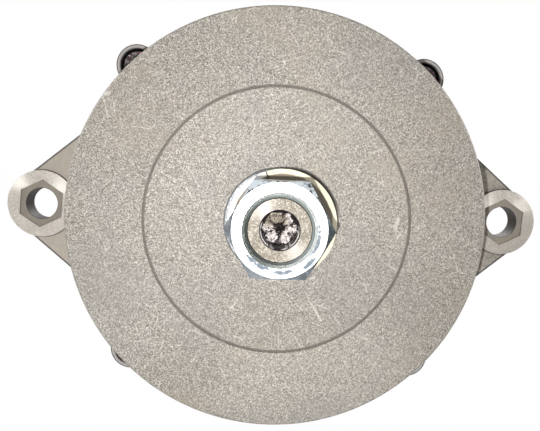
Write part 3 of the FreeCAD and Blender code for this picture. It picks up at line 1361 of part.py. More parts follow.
def make_rear_cover():
    """The pressed cover with a raised cap, air slots and openings for studs, plug and screws."""
    cap_inside = f"{COVER_BACK} - cover_wall + cover_cap_height"
    cover = turned_body("rear_cover", [
        ("0", cap_inside),
        ("cover_cap_radius - cover_cap_height", cap_inside),
        ("cover_cap_radius", f"{COVER_BACK} - cover_wall"),
        (f"{COVER_RADIUS} - cover_edge", f"{COVER_BACK} - cover_wall"),
        (f"{COVER_RADIUS} - cover_wall", f"{COVER_BACK} - cover_edge"),
        (f"{COVER_RADIUS} - cover_wall", REAR_FACE),
        (COVER_RADIUS, REAR_FACE),
        (COVER_RADIUS, f"{COVER_BACK} - cover_edge"),
        (f"{COVER_RADIUS} - cover_edge", COVER_BACK),
        ("cover_cap_radius + cover_wall", COVER_BACK),
        ("cover_cap_radius + cover_wall - cover_cap_height", f"{COVER_BACK} + cover_cap_height"),
        ("0", f"{COVER_BACK} + cover_cap_height"),
    ])
    ends = (f"({COVER_BACK} - cover_wall - 1)", f"({COVER_BACK} + 1)")
    slot_end = f"({COVER_RADIUS} - cover_slot_margin)"
    slot = [
        ("cover_slot_inner", "-cover_slot_width / 2"),
        (slot_end, "-cover_slot_width / 2"),
        (slot_end, "cover_slot_width / 2"),
        ("cover_slot_inner", "cover_slot_width / 2"),
    ]
    repeat(cover, pocket(cover, ends[0], ends[1], outlined(slot)), "cover_slot_count")
    side = new_sketch(cover, "XY_Plane", f"{COVER_RADIUS} + 2")
    side_back = f"({COVER_BACK} - cover_side_slot_setback)"
    draw_outline(side, [
        ("-cover_side_slot_width / 2", f"{side_back} - cover_side_slot_length"),
        ("cover_side_slot_width / 2", f"{side_back} - cover_side_slot_length"),
        ("cover_side_slot_width / 2", side_back),
        ("-cover_side_slot_width / 2", side_back),
    ])
    window = cover.newObject("PartDesign::Pocket", "side_slot")
    window.Profile = side
    bind(window, {"Length": "cover_wall + 4"})
    repeat(cover, window, "cover_side_slot_count")

    def openings(sketch):
        draw_circle(sketch, OUTPUT_PLACE[0], OUTPUT_PLACE[1], "bush_neck_radius + cover_clearance / 2")
        draw_circle(sketch, GROUND_PLACE[0], GROUND_PLACE[1], "ground_stud_radius + cover_clearance / 2")
        circled(COVER_SCREW_PLACES, "cover_screw_radius + cover_clearance / 2")(sketch)
        half_width = "(plug_width / 2 + cover_clearance)"
        half_height = "(plug_height / 2 + cover_clearance)"
        draw_outline(sketch, [
            (f"{PLUG_CENTRE[0]} - {half_width}", f"{PLUG_CENTRE[1]} - {half_height}"),
            (f"{PLUG_CENTRE[0]} + {half_width}", f"{PLUG_CENTRE[1]} - {half_height}"),
            (f"{PLUG_CENTRE[0]} + {half_width}", f"{PLUG_CENTRE[1]} + {half_height}"),
            (f"{PLUG_CENTRE[0]} - {half_width}", f"{PLUG_CENTRE[1]} + {half_height}"),
        ])

    pocket(cover, ends[0], ends[1], openings)
    finish("rear_cover", cover)


def make_cover_screws():
    """The long hexagon head screws that hold the rear cover to the rear wall."""
    screws = []
    for place in COVER_SCREW_PLACES:
        shank = rod("cover_screw_radius", f"({REAR_WALL_FRONT} + screw_tip_gap)", COVER_BACK, place)
        head = hexagon_rod("cover_head_flats", COVER_BACK, f"({COVER_BACK} + cover_head_height)", place)
        screws.append(joined(shank, head))
    finish("cover_screws", set_of(screws))


# Build, check and write

make_shaft()
make_shaft_nut()
make_washers()
make_fan()
make_collar()
make_claw_pole("front_claw_pole", 1, 0)
make_claw_pole("rear_claw_pole", -1, 180 / number_of("pole_finger_count"))
make_rotor_core()
make_slip_rings()
make_bearing(
    "front",
    "(shaft_seat_radius + seat_clearance)",
    "front_bearing_radius",
    "front_ball_radius",
    FRONT_BEARING,
    "front_bearing_width",
    "front_ball_count",
)
make_bearing(
    "rear",
    "(shaft_rear_seat + seat_clearance)",
    "rear_bearing_radius",
    "rear_ball_radius",
    REAR_BEARING,
    "rear_bearing_width",
    "rear_ball_count",
)
make_bearing_retainer()
make_drive_end_housing()
make_rear_housing()
make_through_bolts()
make_stator_core()
for phase_number in range(3):
    make_phase_winding(f"stator_phase_{phase_number + 1}", phase_number)
make_rectifier()
make_terminal_board()
make_output_stud()
make_brushes()
make_brush_springs()
make_brush_holder()
make_regulator()
make_capacitor()
make_ground_stud()
make_rear_cover()
make_cover_screws()
doc.recompute()

for thing in doc.Objects:
    if "Invalid" in thing.State or "Error" in thing.State:
        raise RuntimeError(f"{thing.Name} ({thing.Label}) failed: {thing.State}")
os.makedirs("parts", exist_ok=True)
for node, thing in nodes.items():
    if thing.Shape.isNull() or not thing.Shape.isValid():
        raise RuntimeError(f"{node} has no valid shape")
    thing.Shape.exportStep(f"parts/{node}.step")
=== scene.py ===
import math

import bpy
import numpy as np
from mathutils import Matrix, Vector


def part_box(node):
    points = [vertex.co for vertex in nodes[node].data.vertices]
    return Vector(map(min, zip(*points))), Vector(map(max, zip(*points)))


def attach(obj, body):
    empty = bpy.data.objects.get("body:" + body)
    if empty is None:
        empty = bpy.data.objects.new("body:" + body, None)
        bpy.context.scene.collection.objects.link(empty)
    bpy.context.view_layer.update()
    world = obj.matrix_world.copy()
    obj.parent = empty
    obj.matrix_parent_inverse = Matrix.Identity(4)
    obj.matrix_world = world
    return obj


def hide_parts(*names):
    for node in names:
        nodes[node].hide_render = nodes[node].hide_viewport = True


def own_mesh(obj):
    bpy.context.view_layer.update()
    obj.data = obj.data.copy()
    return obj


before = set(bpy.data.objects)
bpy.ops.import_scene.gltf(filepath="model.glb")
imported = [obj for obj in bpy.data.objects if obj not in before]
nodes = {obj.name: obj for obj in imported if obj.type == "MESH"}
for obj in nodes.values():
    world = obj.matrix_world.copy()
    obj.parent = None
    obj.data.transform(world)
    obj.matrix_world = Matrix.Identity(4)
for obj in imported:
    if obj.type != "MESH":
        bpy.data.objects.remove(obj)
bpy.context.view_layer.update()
fan_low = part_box("fan")[0]


# Camera
# It stands a short way in front of the fan, a little above and left of the shaft, and is
# turned clockwise by two degrees. The distance is short, so what is nearer looks much larger.
MM = 0.001
CAMERA_TURN = Vector((0.086, -0.0396, 0.042))
CAMERA_OFFSET = Vector((-2.9863, 0.3626, 205.663)) * MM
CAMERA_FOCUS_PX = 620.0
CAMERA_CENTRE_PX = (286.36, 220.09)
PICTURE_PX = (540, 431)
SENSOR = 36.0

turn = Matrix.Rotation(CAMERA_TURN.length, 3, CAMERA_TURN)
centre = turn.transposed() @ -CAMERA_OFFSET


def from_fan_face(right, down, away):
    """A point or direction given right, down and away from the middle of the fan's face."""
    return Vector((right, away, -down))


scene = bpy.context.scene
camera_place = from_fan_face(*centre) + Vector((0, fan_low.y, 0))
camera_data = bpy.data.cameras.new("camera")
camera_data.sensor_width = SENSOR
camera_data.lens = CAMERA_FOCUS_PX / PICTURE_PX[0] * SENSOR
camera_data.shift_x = (PICTURE_PX[0] / 2 - CAMERA_CENTRE_PX[0]) / PICTURE_PX[0]
camera_data.shift_y = (CAMERA_CENTRE_PX[1] - PICTURE_PX[1] / 2) / PICTURE_PX[0]
camera_data.clip_start = 0.01
camera = bpy.data.objects.new("camera", camera_data)
scene.collection.objects.link(camera)
sight = Matrix([from_fan_face(*turn[0]), -from_fan_face(*turn[1]), -from_fan_face(*turn[2])]).transposed()
camera.matrix_world = Matrix.LocRotScale(camera_place, sight.to_quaternion(), None)
scene.camera = camera


# Floor and light
# A pale floor under the fan's rim, a white sky, and a small soft lamp just left of the camera
# and below it, which leaves thin shadows on the right. Large lamps light the sides and back.
def blank_material(name):
    """An empty material: itself, its nodes, and its shader."""
    material = bpy.data.materials.new(name)
    material.use_nodes = True
    return material, material.node_tree, material.node_tree.nodes["Principled BSDF"]


class Value:
    """What changes over a surface: the output of a node. Plain sums on it make new nodes."""

    def __init__(self, socket):
        self.socket = socket
        self.tree = socket.id_data

    def __add__(self, other):
        return worked("ADD", self, other)

    def __sub__(self, other):
        return worked("SUBTRACT", self, other)

    def __rsub__(self, other):
        return worked("SUBTRACT", other, self)

    def __mul__(self, other):
        return worked("MULTIPLY", self, other)

    def __truediv__(self, other):
        return worked("DIVIDE", self, other)

    def __pow__(self, other):
        return worked("POWER", self, other)

    def __abs__(self):
        return worked("ABSOLUTE", self)


def light_of(colour):
    """The share of light that gives a colour as it is seen, 0 to 255."""
    seen = np.array(colour) / 255
    light = np.where(seen <= 0.04045, seen / 12.92, ((seen + 0.055) / 1.055) ** 2.4)
    return (*light.tolist(), 1.0)


def lead(value, socket):
    """Lead a Value to an input by a link, or set the input to a plain number or colour."""
    if isinstance(value, Value):
        socket.id_data.links.new(value.socket, socket)
    else:
        socket.default_value = light_of(value) if socket.type == "RGBA" else value


def add(tree, kind, inputs, output=0, **settings):
    """A new node with its inputs and settings: one of its outputs, as a Value."""
    node = tree.nodes.new(kind)
    for name, value in settings.items():
        setattr(node, name, value)
    for name, value in inputs.items():
        lead(value, node.inputs[name])
    return Value(node.outputs[output])


def worked(kind, first, second=0.0):
    """The outcome of one sum, of which at least one part is a Value."""
    tree = first.tree if isinstance(first, Value) else second.tree
    return add(tree, "ShaderNodeMath", {0: first, 1: second}, operation=kind)


def largest(*values):
    """The largest of some values."""
    most = values[0]
    for value in values[1:]:
        most = worked("MAXIMUM", most, value)
    return most


def seen_by(tree, *rays):
    """1 for the kinds of rays that see the plain backdrop, 0 for those that light the object."""
    path = tree.nodes.new("ShaderNodeLightPath").outputs
    return largest(*(Value(path[f"Is {ray} Ray"]) for ray in rays))


scene.view_settings.view_transform = "Standard"
FLOOR_REACH = 3.0
FLOOR_COLOUR = (188, 188, 188)
FLOOR_ROUGHNESS = 0.9
FLOOR_GLOW = 1.03
FLOOR_GLOW_SHARE = 0.96
SKY_LIGHT = 0.12

floor_mesh = bpy.data.meshes.new("floor")
corners = [(x * FLOOR_REACH, y * FLOOR_REACH, fan_low.z) for x, y in ((-1, -1), (1, -1), (1, 1), (-1, 1))]
floor_mesh.from_pydata(corners, [], [(0, 1, 2, 3)])
floor = bpy.data.objects.new("floor", floor_mesh)
scene.collection.objects.link(floor)
floor_material, tree, shader = blank_material("floor")
lead(FLOOR_COLOUR, shader.inputs["Base Color"])
lead(FLOOR_ROUGHNESS, shader.inputs["Roughness"])
glow = add(tree, "ShaderNodeEmission", {"Strength": FLOOR_GLOW})
share = seen_by(tree, "Camera", "Glossy") * FLOOR_GLOW_SHARE
mixed = add(tree, "ShaderNodeMixShader", {0: share, 1: Value(shader.outputs[0]), 2: glow})
lead(mixed, tree.nodes["Material Output"].inputs["Surface"])
floor_mesh.materials.append(floor_material)

world = bpy.data.worlds.new("sky")
scene.world = world
world.use_nodes = True
backdrop = world.node_tree.nodes["Background"]
strength = largest(seen_by(world.node_tree, "Camera", "Glossy", "Transmission"), SKY_LIGHT)
lead(strength, backdrop.inputs["Strength"])
lead((255, 255, 255), backdrop.inputs["Color"])

# Name, place, width and power
LAMPS = (
    ("beside_camera", camera_place + Vector((-0.0080, 0.0, -0.014)), 0.003, 0.318),
    ("left_side", Vector((-0.80, 0.30, 0.45)), 0.60, 5.0),
    ("right_side", Vector((0.80, 0.30, 0.35)), 0.60, 5.0),
    ("behind", Vector((0.15, 0.95, 0.55)), 0.60, 7.0),
)
for name, place, width, power in LAMPS:
    lamp_data = bpy.data.lights.new(name, "AREA")
    lamp_data.size = width
    lamp_data.energy = power
    lamp = bpy.data.objects.new(name, lamp_data)
    scene.collection.objects.link(lamp)
    lamp.location = place
    lamp.rotation_euler = (-place).to_track_quat("-Z", "Y").to_euler()


# Fan
# A die cast aluminium disc, blasted to a fine even grain, with one turned ring in its face.
# Handling has left pale specks, soft clouds and a few hair scratches on it.
def new_group(name, inputs, outputs):
    """A shader node group: the group itself, its own inputs as Values, and its outputs to fill."""
    group = bpy.data.node_groups.new(name, "ShaderNodeTree")
    for direction, labels in (("INPUT", inputs), ("OUTPUT", outputs)):
        for label in labels:
            kind = "NodeSocketColor" if label in ("Colour", "Shade", "Speck") else "NodeSocketFloat"
            group.interface.new_socket(label, in_out=direction, socket_type=kind)
    start = group.nodes.new("NodeGroupInput").outputs
    own = {label: Value(start[label]) for label in inputs}
    return group, own, group.nodes.new("NodeGroupOutput").inputs


def placed(tree, group, **inputs):
    """A shared effect placed in a material with its own values: its outputs."""
    node = tree.nodes.new("ShaderNodeGroup")
    node.node_tree = group
    for name, value in inputs.items():
        lead(value, node.inputs[name.replace("_", " ")])
    return [Value(socket) for socket in node.outputs]


def object_place(tree):
    """Where the surface is, in the object's own coordinates."""
    return add(tree, "ShaderNodeTexCoord", {}, "Object")


def along(tree, axis):
    """One coordinate of the surface's place."""
    return add(tree, "ShaderNodeSeparateXYZ", {0: object_place(tree)}, axis)


def noise(tree, scale, detail=2.0, roughness=0.5, place=None):
    """A noise between 0 and 1."""
    inputs = {"Vector": place or object_place(tree), "Scale": scale, "Detail": detail, "Roughness": roughness}
    return add(tree, "ShaderNodeTexNoise", inputs, "Fac")


def spread(value, low, high, low_out=0.0, high_out=1.0):
    """A value stretched from one range to another and held inside it."""
    inputs = {"Value": value, "From Min": low, "From Max": high, "To Min": low_out, "To Max": high_out}
    return add(value.tree, "ShaderNodeMapRange", inputs)


def blended(share, first, second):
    """Two colours mixed by a share, which is a Value."""
    return add(share.tree, "ShaderNodeMix", {0: share, 6: first, 7: second}, 2, data_type="RGBA")


def angle_of(up, across):
    """The angle of a direction, from across towards up."""
    return worked("ARCTAN2", up, across)


def diagonal(across, up):
    """The distance made by two distances at a right angle."""
    return worked("SQRT", across ** 2.0 + up ** 2.0)


def distance_from_axis(tree, across=0.0, up=0.0):
    """How far the surface is from a line along Y, in metres."""
    return diagonal(along(tree, "X") - across, along(tree, "Z") - up)


# The grain of a surface: soft clouds of two shades, and cells a grain wide, each pale or dark
grain, own, given = new_group("surface_grain", (
    "Colour", "Shade", "Speck", "Cloud Scale", "Cloud Share", "Grain Scale", "Grain Share",
    "Rough Low", "Rough High",
), ("Colour", "Roughness", "Height"))
place = object_place(grain)
cloud = spread(noise(grain, own["Cloud Scale"], 5.0, 0.65, place), 0.36, 0.64)
cells = add(grain, "ShaderNodeTexVoronoi", {"Vector": place, "Scale": own["Grain Scale"]}, "Color")
cell = add(grain, "ShaderNodeSeparateColor", {0: cells}, 0)
chance = add(grain, "ShaderNodeSeparateColor", {0: cells}, 1)
fine = spread(noise(grain, own["Grain Scale"], 2.0, 0.7, place), 0.32, 0.68)
speckle = cell * 0.5 + fine * 0.5
pale = spread(speckle, 0.54, 0.82) * own["Grain Share"]
dark = spread(speckle, 0.46, 0.18) * own["Grain Share"]
glints = spread(chance, 0.955, 0.985) * own["Grain Share"]
ground = blended(cloud * own["Cloud Share"], own["Colour"], own["Shade"])
ground = blended(dark, ground, own["Shade"])
ground = blended(pale, ground, own["Speck"])
lead(blended(glints, ground, own["Speck"]), given["Colour"])
lead(spread(speckle, 0.0, 1.0, own["Rough High"], own["Rough Low"]), given["Roughness"])
lead(speckle, given["Height"])

# Hair scratches: short straight pieces of the borders between large cells, kept in small patches
scratches, own, given = new_group("hair_scratches", ("Scale", "Width"), ("Mask",))
inputs = {"Vector": object_place(scratches), "Scale": own["Scale"]}
border = add(scratches, "ShaderNodeTexVoronoi", inputs, "Distance", feature="DISTANCE_TO_EDGE")
patch = spread(noise(scratches, 230.0, 1.0), 0.56, 0.64)
lead(worked("LESS_THAN", border, own["Width"]) * patch, given["Mask"])


def grained(tree, colour, shade, speck, clouds, cells, roughness=(0.42, 0.60)):
    """The grain placed in a material: colours, scale and share of clouds and of cells, roughness."""
    return placed(
        tree, grain, Colour=colour, Shade=shade, Speck=speck, Cloud_Scale=clouds[0],
        Cloud_Share=clouds[1], Grain_Scale=cells[0], Grain_Share=cells[1],
        Rough_Low=roughness[0], Rough_High=roughness[1],
    )


def nearness(angle, side):
    """How near an angle is to a side, in degrees: the cosine of the angle between them."""
    return worked("COSINE", angle - math.radians(side))


def toward_side(angle, side, half_width):
    """1 where an angle is a side's, falling to 0 at the half width from it, in degrees."""
    return spread(nearness(angle, side), math.cos(math.radians(half_width)), 1.0)


def joined_to(shader, colour, rough, height, metallic, strength, depth):
    """Lead a colour, a roughness and a height to a shader. The bump's depth is in millimetres."""
    lead(colour, shader.inputs["Base Color"])
    lead(rough, shader.inputs["Roughness"])
    lead(metallic, shader.inputs["Metallic"])
    bump = {"Height": height, "Strength": strength, "Distance": depth * MM}
    lead(add(height.tree, "ShaderNodeBump", bump, "Normal"), shader.inputs["Normal"])


def dress(material, *names):
    """Give CAD nodes their finish."""
    for name in names:
        nodes[name].data.materials.clear()
        nodes[name].data.materials.append(material)


FAN_RING = 44.25 * MM
FAN_RING_HALF = 0.45 * MM
FAN_COLOUR = (174, 167, 157)
FAN_SHADE = (106, 99, 90)
FAN_SPECK = (246, 240, 230)
FAN_GROOVE_SHADE = (112, 106, 98)
FAN_WARM = (192, 178, 154)
FAN_COOL = (158, 156, 154)
FAN_PAINTED_SHADOW = (72, 68, 66)

# Where the painted shade towards the right begins and ends, and its share at both
FAN_PAINTED_SHADE_RIGHT = (5.0 * MM, 72.0 * MM, 0.0, 0.24)

# A painted shadow right of the washers: the middle and radius of its edge, and where it fades in
WASHER_SHADOW_PLACE = (1.4 * MM, -1.0 * MM)
WASHER_SHADOW_RADIUS = 19.7 * MM
WASHER_SHADOW_SIDE = (2.0 * MM, 8.0 * MM)
WASHER_SHADOW_TOP = (0.0, 7.0 * MM)

# Painted shade and sheen: side and half width in degrees, whether inside the ring, colour, share
FAN_PAINTED_SHADE_AND_SHEEN = (
    (260, 110, 1.0, FAN_SHADE, 0.14),
    (75, 70, 1.0, FAN_SPECK, 0.05),
    (145, 65, 0.0, FAN_SHADE, 0.13),
    (240, 16, 0.0, FAN_SHADE, 0.11),
    (332, 18, 0.0, FAN_SHADE, 0.09),
    (300, 22, 0.0, FAN_SPECK, 0.08),
    (268, 16, 0.0, FAN_SPECK, 0.05),
)

fan_finish, tree, shader = blank_material("blasted_aluminium")
radius = distance_from_axis(tree)
across, up = along(tree, "X"), along(tree, "Z")
colour, rough, height = grained(
    tree, FAN_COLOUR, FAN_SHADE, FAN_SPECK, clouds=(38.0, 0.1), cells=(4000.0, 1.0), roughness=(0.5, 0.7),
)

# Warm and cool clouds, then painted shade and sheen by side
tint = noise(tree, 30.0, 4.0, 0.6)
colour = blended(spread(tint, 0.52, 0.68, 0.0, 0.3), colour, FAN_WARM)
colour = blended(spread(tint, 0.48, 0.32, 0.0, 0.3), colour, FAN_COOL)
angle = angle_of(up, across)
in_ring = spread(radius, FAN_RING + 0.5 * MM, FAN_RING - 0.5 * MM)
for side, half_width, inside, tone, share in FAN_PAINTED_SHADE_AND_SHEEN:
    there = spread(in_ring, 1.0 - inside, inside, 0.0, share)
    colour = blended(toward_side(angle, side, half_width) * there, colour, tone)

# Scratches, the groove's painted shade, painted shade on the right, the washers' painted shadow
hairs = placed(tree, scratches, Scale=90.0, Width=0.011)[0]
colour = blended(hairs * 0.55, colour, FAN_SPECK)
from_ring = abs(radius - FAN_RING)
in_groove = spread(from_ring, FAN_RING_HALF + 0.15 * MM, FAN_RING_HALF - 0.1 * MM)
# The groove is painted darker, as shade
colour = blended(in_groove * 0.8, colour, FAN_GROOVE_SHADE)
# Painted shade, darker towards the right
colour = blended(spread(across, *FAN_PAINTED_SHADE_RIGHT), colour, FAN_SHADE)
# A painted shadow of the washers, to their right and above
from_washer_shadow = distance_from_axis(tree, *WASHER_SHADOW_PLACE)
washer_shadow = spread(from_washer_shadow, WASHER_SHADOW_RADIUS + 0.3 * MM, WASHER_SHADOW_RADIUS - 0.2 * MM)
washer_shadow = washer_shadow * spread(across, *WASHER_SHADOW_SIDE) * spread(up, *WASHER_SHADOW_TOP)
colour = blended(washer_shadow * 0.85, colour, FAN_PAINTED_SHADOW)
joined_to(shader, colour, rough, height, metallic=0.12, strength=0.35, depth=0.06)
dress(fan_finish, "fan")


# Shaft and its socket
# Turned steel, with a countersunk hexagon socket in the threaded end that holds the shaft while
# the nut is driven. The broach has left six folds of chips at the socket's floor.
shaft_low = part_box("shaft")[0]
SOCKET_MOUTH = 5.95 * MM
SOCKET_FLATS = 10.0 * MM
SOCKET_DEPTH = 9.0 * MM
JOURNAL_START = 21.0 * MM
CHAMFER_DEPTH = 1.3 * MM
CHAMFER_SHADE_TOWARD = 205
EDGE_DEPTH = 0.24 * MM
STEEL_END = (134, 126, 112)
STEEL_GLINT = (222, 214, 204)
STEEL_SHADE = (98, 88, 74)
STEEL_CHAMFER = (202, 205, 200)
STEEL_CHAMFER_SHADE = (122, 124, 118)
END_EDGE_SHADE = (40, 36, 32)
THREAD_DARK = (98, 98, 92)
MOUTH_START = 5.0 * MM
MOUTH_GLINT = 5.5 * MM
MOUTH_ARCS = (205, 325)
MOUTH_HIGHLIGHT = (255, 251, 247)
SOCKET_SHADE = (44, 37, 40)
JOURNAL = (176, 174, 170)


def sine(angle):
    """The sine of an angle."""
    return worked("SINE", angle)


# Rings left by a cutting tool round the shaft's line
rings, own, given = new_group("tool_rings", ("Pitch", "Wander"), ("Height",))
turns = distance_from_axis(rings) / own["Pitch"] + noise(rings, 220.0) * own["Wander"]
lead(spread(sine(turns * (2 * math.pi)), -1.0, 1.0), given["Height"])


def sheen_across(angle, toward, sharpness):
    """Two bright sectors of painted sheen on a turned face, opposite each other: a high power of a cosine."""
    return abs(nearness(angle, toward)) ** sharpness


def away_from(angle, toward):
    """0 on the side of a cone painted in shade, rising to 1 on the far side."""
    return spread(nearness(angle, toward), 0.9, -0.4)


steel_finish, tree, shader = blank_material("turned_steel")
radius = distance_from_axis(tree)
depth = along(tree, "Y") - shaft_low.y

# The turned end, with a painted sheen across it
ring_height = placed(tree, rings, Pitch=0.55 * MM, Wander=1.5)[0]
angle = angle_of(along(tree, "Z"), along(tree, "X"))
sheen = sheen_across(angle, 128, 14.0)
end_colour, rough = grained(
    tree, STEEL_END, STEEL_SHADE, STEEL_GLINT, clouds=(260.0, 0.35), cells=(2600.0, 0.5),
)[:2]
end_colour = blended(ring_height * 0.16, end_colour, STEEL_SHADE)
end_colour = blended(sheen * 0.6, end_colour, STEEL_GLINT)
on_end = spread(depth, 0.1 * MM, 0.03 * MM)

# Behind the end: its rim, the chamfer, the thread and the ground journal
on_journal = spread(depth, JOURNAL_START, JOURNAL_START + 1.0 * MM)
thread_colour = blended(on_journal, THREAD_DARK, JOURNAL)
# The chamfer is painted darker on one side, as shade
chamfer_colour = blended(away_from(angle, CHAMFER_SHADE_TOWARD), STEEL_CHAMFER_SHADE, STEEL_CHAMFER)
on_chamfer = spread(depth, CHAMFER_DEPTH + 0.3 * MM, CHAMFER_DEPTH)
colour = blended(on_chamfer, thread_colour, chamfer_colour)
# A thin line of painted shade at the rim of the end
colour = blended(spread(depth, EDGE_DEPTH + 0.1 * MM, EDGE_DEPTH), colour, END_EDGE_SHADE)
colour = blended(on_end, colour, end_colour)

# The socket's wall, painted dark as shade, with painted glints in two arcs of its countersunk mouth
chips = spread(noise(tree, 900.0, 3.0, 0.6), 0.5, 0.6)
wall_colour = blended(chips * 0.12, SOCKET_SHADE, STEEL_GLINT)
glint = spread(abs(radius - MOUTH_GLINT), 0.2 * MM, 0.1 * MM) * spread(chips, 0.0, 0.5, 0.8, 1.0)
glint = glint * spread(largest(*(nearness(angle, side) for side in MOUTH_ARCS)), 0.62, 0.8)
mouth_colour = blended(glint, SOCKET_SHADE, MOUTH_HIGHLIGHT)
wall_colour = blended(spread(radius, MOUTH_START, MOUTH_START + 0.2 * MM), wall_colour, mouth_colour)
in_socket = spread(radius, SOCKET_MOUTH + 0.05 * MM, SOCKET_MOUTH - 0.05 * MM)
in_socket = in_socket * spread(depth, 1.5 * SOCKET_DEPTH, SOCKET_DEPTH)
colour = blended(in_socket, colour, wall_colour)

metal = spread(on_end, 0.0, 1.0, 0.7, 0.25)
joined_to(shader, colour, rough, ring_height, metallic=metal, strength=0.2, depth=0.04)
dress(steel_finish, "shaft")


def points_at(x, y, z):
    """A grid of points from three coordinates, each a number, a row, a column or a grid."""
    return np.stack(np.broadcast_arrays(x, y, z), axis=-1)


def round_angles(count):
    """Equal steps of angle once round."""
    return np.linspace(0, 2 * math.pi, count, endpoint=False)


def hexagon(angles):
    """A hexagon's radius, its flats 1 from the middle: 1 over the cosine from a flat's middle."""
    return 1 / np.cos(np.mod(angles, math.pi / 3) - math.pi / 6)


def closed_grid(name, points, material):
    """A closed surface from a grid of points, rows along it and columns round it.

    Each row joins the next, the last column joins the first, and a point in the middle of the
    first and last rows closes the ends. Faces are turned outward by the sign of the volume: the
    sum over all triangles of a corner dotted with the cross product of the other two.
    """
    rows, columns = points.shape[:2]
    verts = np.vstack([points.reshape(-1, 3), points[0].mean(0), points[-1].mean(0)])
    index = np.arange(rows * columns).reshape(rows, columns)
    beside = np.roll(index, -1, axis=1)
    quads = np.stack([index[:-1], beside[:-1], beside[1:], index[1:]], axis=-1).reshape(-1, 4)
    first_cap = np.stack([np.full(columns, rows * columns), beside[0], index[0]], axis=-1)
    last_cap = np.stack([np.full(columns, rows * columns + 1), index[-1], beside[-1]], axis=-1)
    triangles = np.vstack([quads[:, [0, 1, 2]], quads[:, [0, 2, 3]], first_cap, last_cap])
    a, b, c = (verts[triangles[:, i]] for i in range(3))
    faces = [*quads.tolist(), *first_cap.tolist(), *last_cap.tolist()]
    if (a * np.cross(b, c)).sum() < 0:
        faces = [face[::-1] for face in faces]
    mesh = bpy.data.meshes.new(name)
    mesh.from_pydata(verts.tolist(), [], faces)
    mesh.materials.append(material)
    mesh.shade_smooth()
    piece = bpy.data.objects.new(name, mesh)
    scene.collection.objects.link(piece)
    return piece


CHIP_RISE = 2.4 * MM
CHIP_TURN = math.radians(20)
CHIP_EDGE = 0.93
CHIP_SIDE_GAP = 0.05 * MM
CHIP_THICKNESS = 0.1 * MM
CHIP_ROWS = 22
CHIP_SIDES = 144
CHIP_LIT = (255, 246, 242)
CHIP_BROWN = (178, 166, 146)
CHIP_GAP_SHADE = (52, 44, 46)
CHIP_LIT_LOW = (1.6 * MM, -0.6 * MM)
CHIP_LIT_ASIDE = (1.6 * MM, 2.8 * MM)
chip_finish, tree, shader = blank_material("broached_chips")
flap = add(tree, "ShaderNodeAttribute", {}, "Fac", attribute_name="flap")
torn = spread(noise(tree, 560.0, 5.0, 0.85), 0.3, 0.7, -1.0, 1.0)
nicks = spread(noise(tree, 1500.0, 2.0, 0.8), 0.3, 0.7, -0.5, 0.5)
shown = spread(flap + torn + nicks, 0.4, 0.56)
# Painted light: paler low and on the right. Painted shade: dark where no fold shows
lower = spread(along(tree, "Z"), *CHIP_LIT_LOW)
aside = spread(along(tree, "X"), *CHIP_LIT_ASIDE)
chip_lighting = spread(largest(lower, aside), 0.0, 1.0, 0.15, 1.0)
flap_colour = blended(chip_lighting, CHIP_BROWN, CHIP_LIT)
colour = blended(shown, CHIP_GAP_SHADE, flap_colour)
flecks = noise(tree, 1500.0, 3.0, 0.7)
rough = spread(flecks, 0.3, 0.7, 0.2, 0.5)
joined_to(shader, colour, rough, flecks, metallic=0.25, strength=0.8, depth=0.25)

# Folded chips: rings of the socket's own outline shrunk towards the middle, each lifted off the
# floor by six lobes and a finer ripple, with a pit in the middle. How much of a lobe there is at
# a point is kept as the mesh's attribute "flap", which its colour reads.
around = round_angles(CHIP_SIDES)
outline = (SOCKET_FLATS / 2 - CHIP_SIDE_GAP) * hexagon(around)
share = np.linspace(0.03, 1.0, CHIP_ROWS)[:, None]
lobes = np.abs(np.cos(3 * around + CHIP_TURN + 0.3 * np.sin(around) + 0.2 * np.sin(2 * around))) ** 0.6
ripple = 0.16 * np.sin(17 * around + 9 * share) + 0.10 * np.sin(31 * around - 14 * share)
rise = CHIP_RISE * np.sin(math.pi * np.clip(share, 0, 0.82) / 1.1) * (0.35 + 0.65 * lobes + ripple)
floor_y = shaft_low.y + SOCKET_DEPTH
outline_x, outline_z = outline * np.cos(around), outline * np.sin(around)
top = points_at(share * outline_x, floor_y - CHIP_THICKNESS - rise, share * outline_z)
under = points_at(outline_x, floor_y, outline_z)
flap = lobes * np.clip((share - 0.25) / 0.2, 0, 1) * np.clip((CHIP_EDGE - share) / 0.06, 0, 1)
socket_chips = closed_grid("socket_chips", np.vstack([top, under[None]]), chip_finish)
amount = socket_chips.data.attributes.new("flap", "FLOAT", "POINT")
amount.data.foreach_set("value", np.concatenate([flap.ravel(), np.zeros(len(around) + 2)]))
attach(socket_chips, "rotor")


# Shaft nut
# A tall hexagon nut, turned flat and bright on its face. Its chamfers at the corners are painted
# dark with a lighter side, as painted reflection. It is zinc plated, clear with a blue tint.
NUT_FACE = (238, 241, 243)
NUT_CROWN_DARK_REFLECTION = (74, 80, 84)
NUT_CROWN_HIGHLIGHT = (214, 222, 228)
CROWN_HIGHLIGHT_SIDE = 145
CROWN_HIGHLIGHT_AXIS = 85
NUT_COUNTERSINK = (214, 218, 216)
NUT_SINK_SHADE = (114, 118, 114)
NUT_FLANK = (194, 204, 211)
NUT_FLANK_DARK = (168, 178, 186)
NUT_SMUDGE_AND_SHADE = (104, 118, 132)
NUT_FACE_IN = 10.9 * MM
CROWN_STREAKS_UP = (2.0 * MM, 10.0 * MM)

# Smudges and painted shade: side and half width in degrees, radius and half thickness in millimetres
NUT_SMUDGES_AND_SHADE = ((238, 18, 11.5, 0.8), (277, 13, 12.0, 0.7), (315, 9, 12.6, 0.7), (345, 22, 11.3, 0.7))


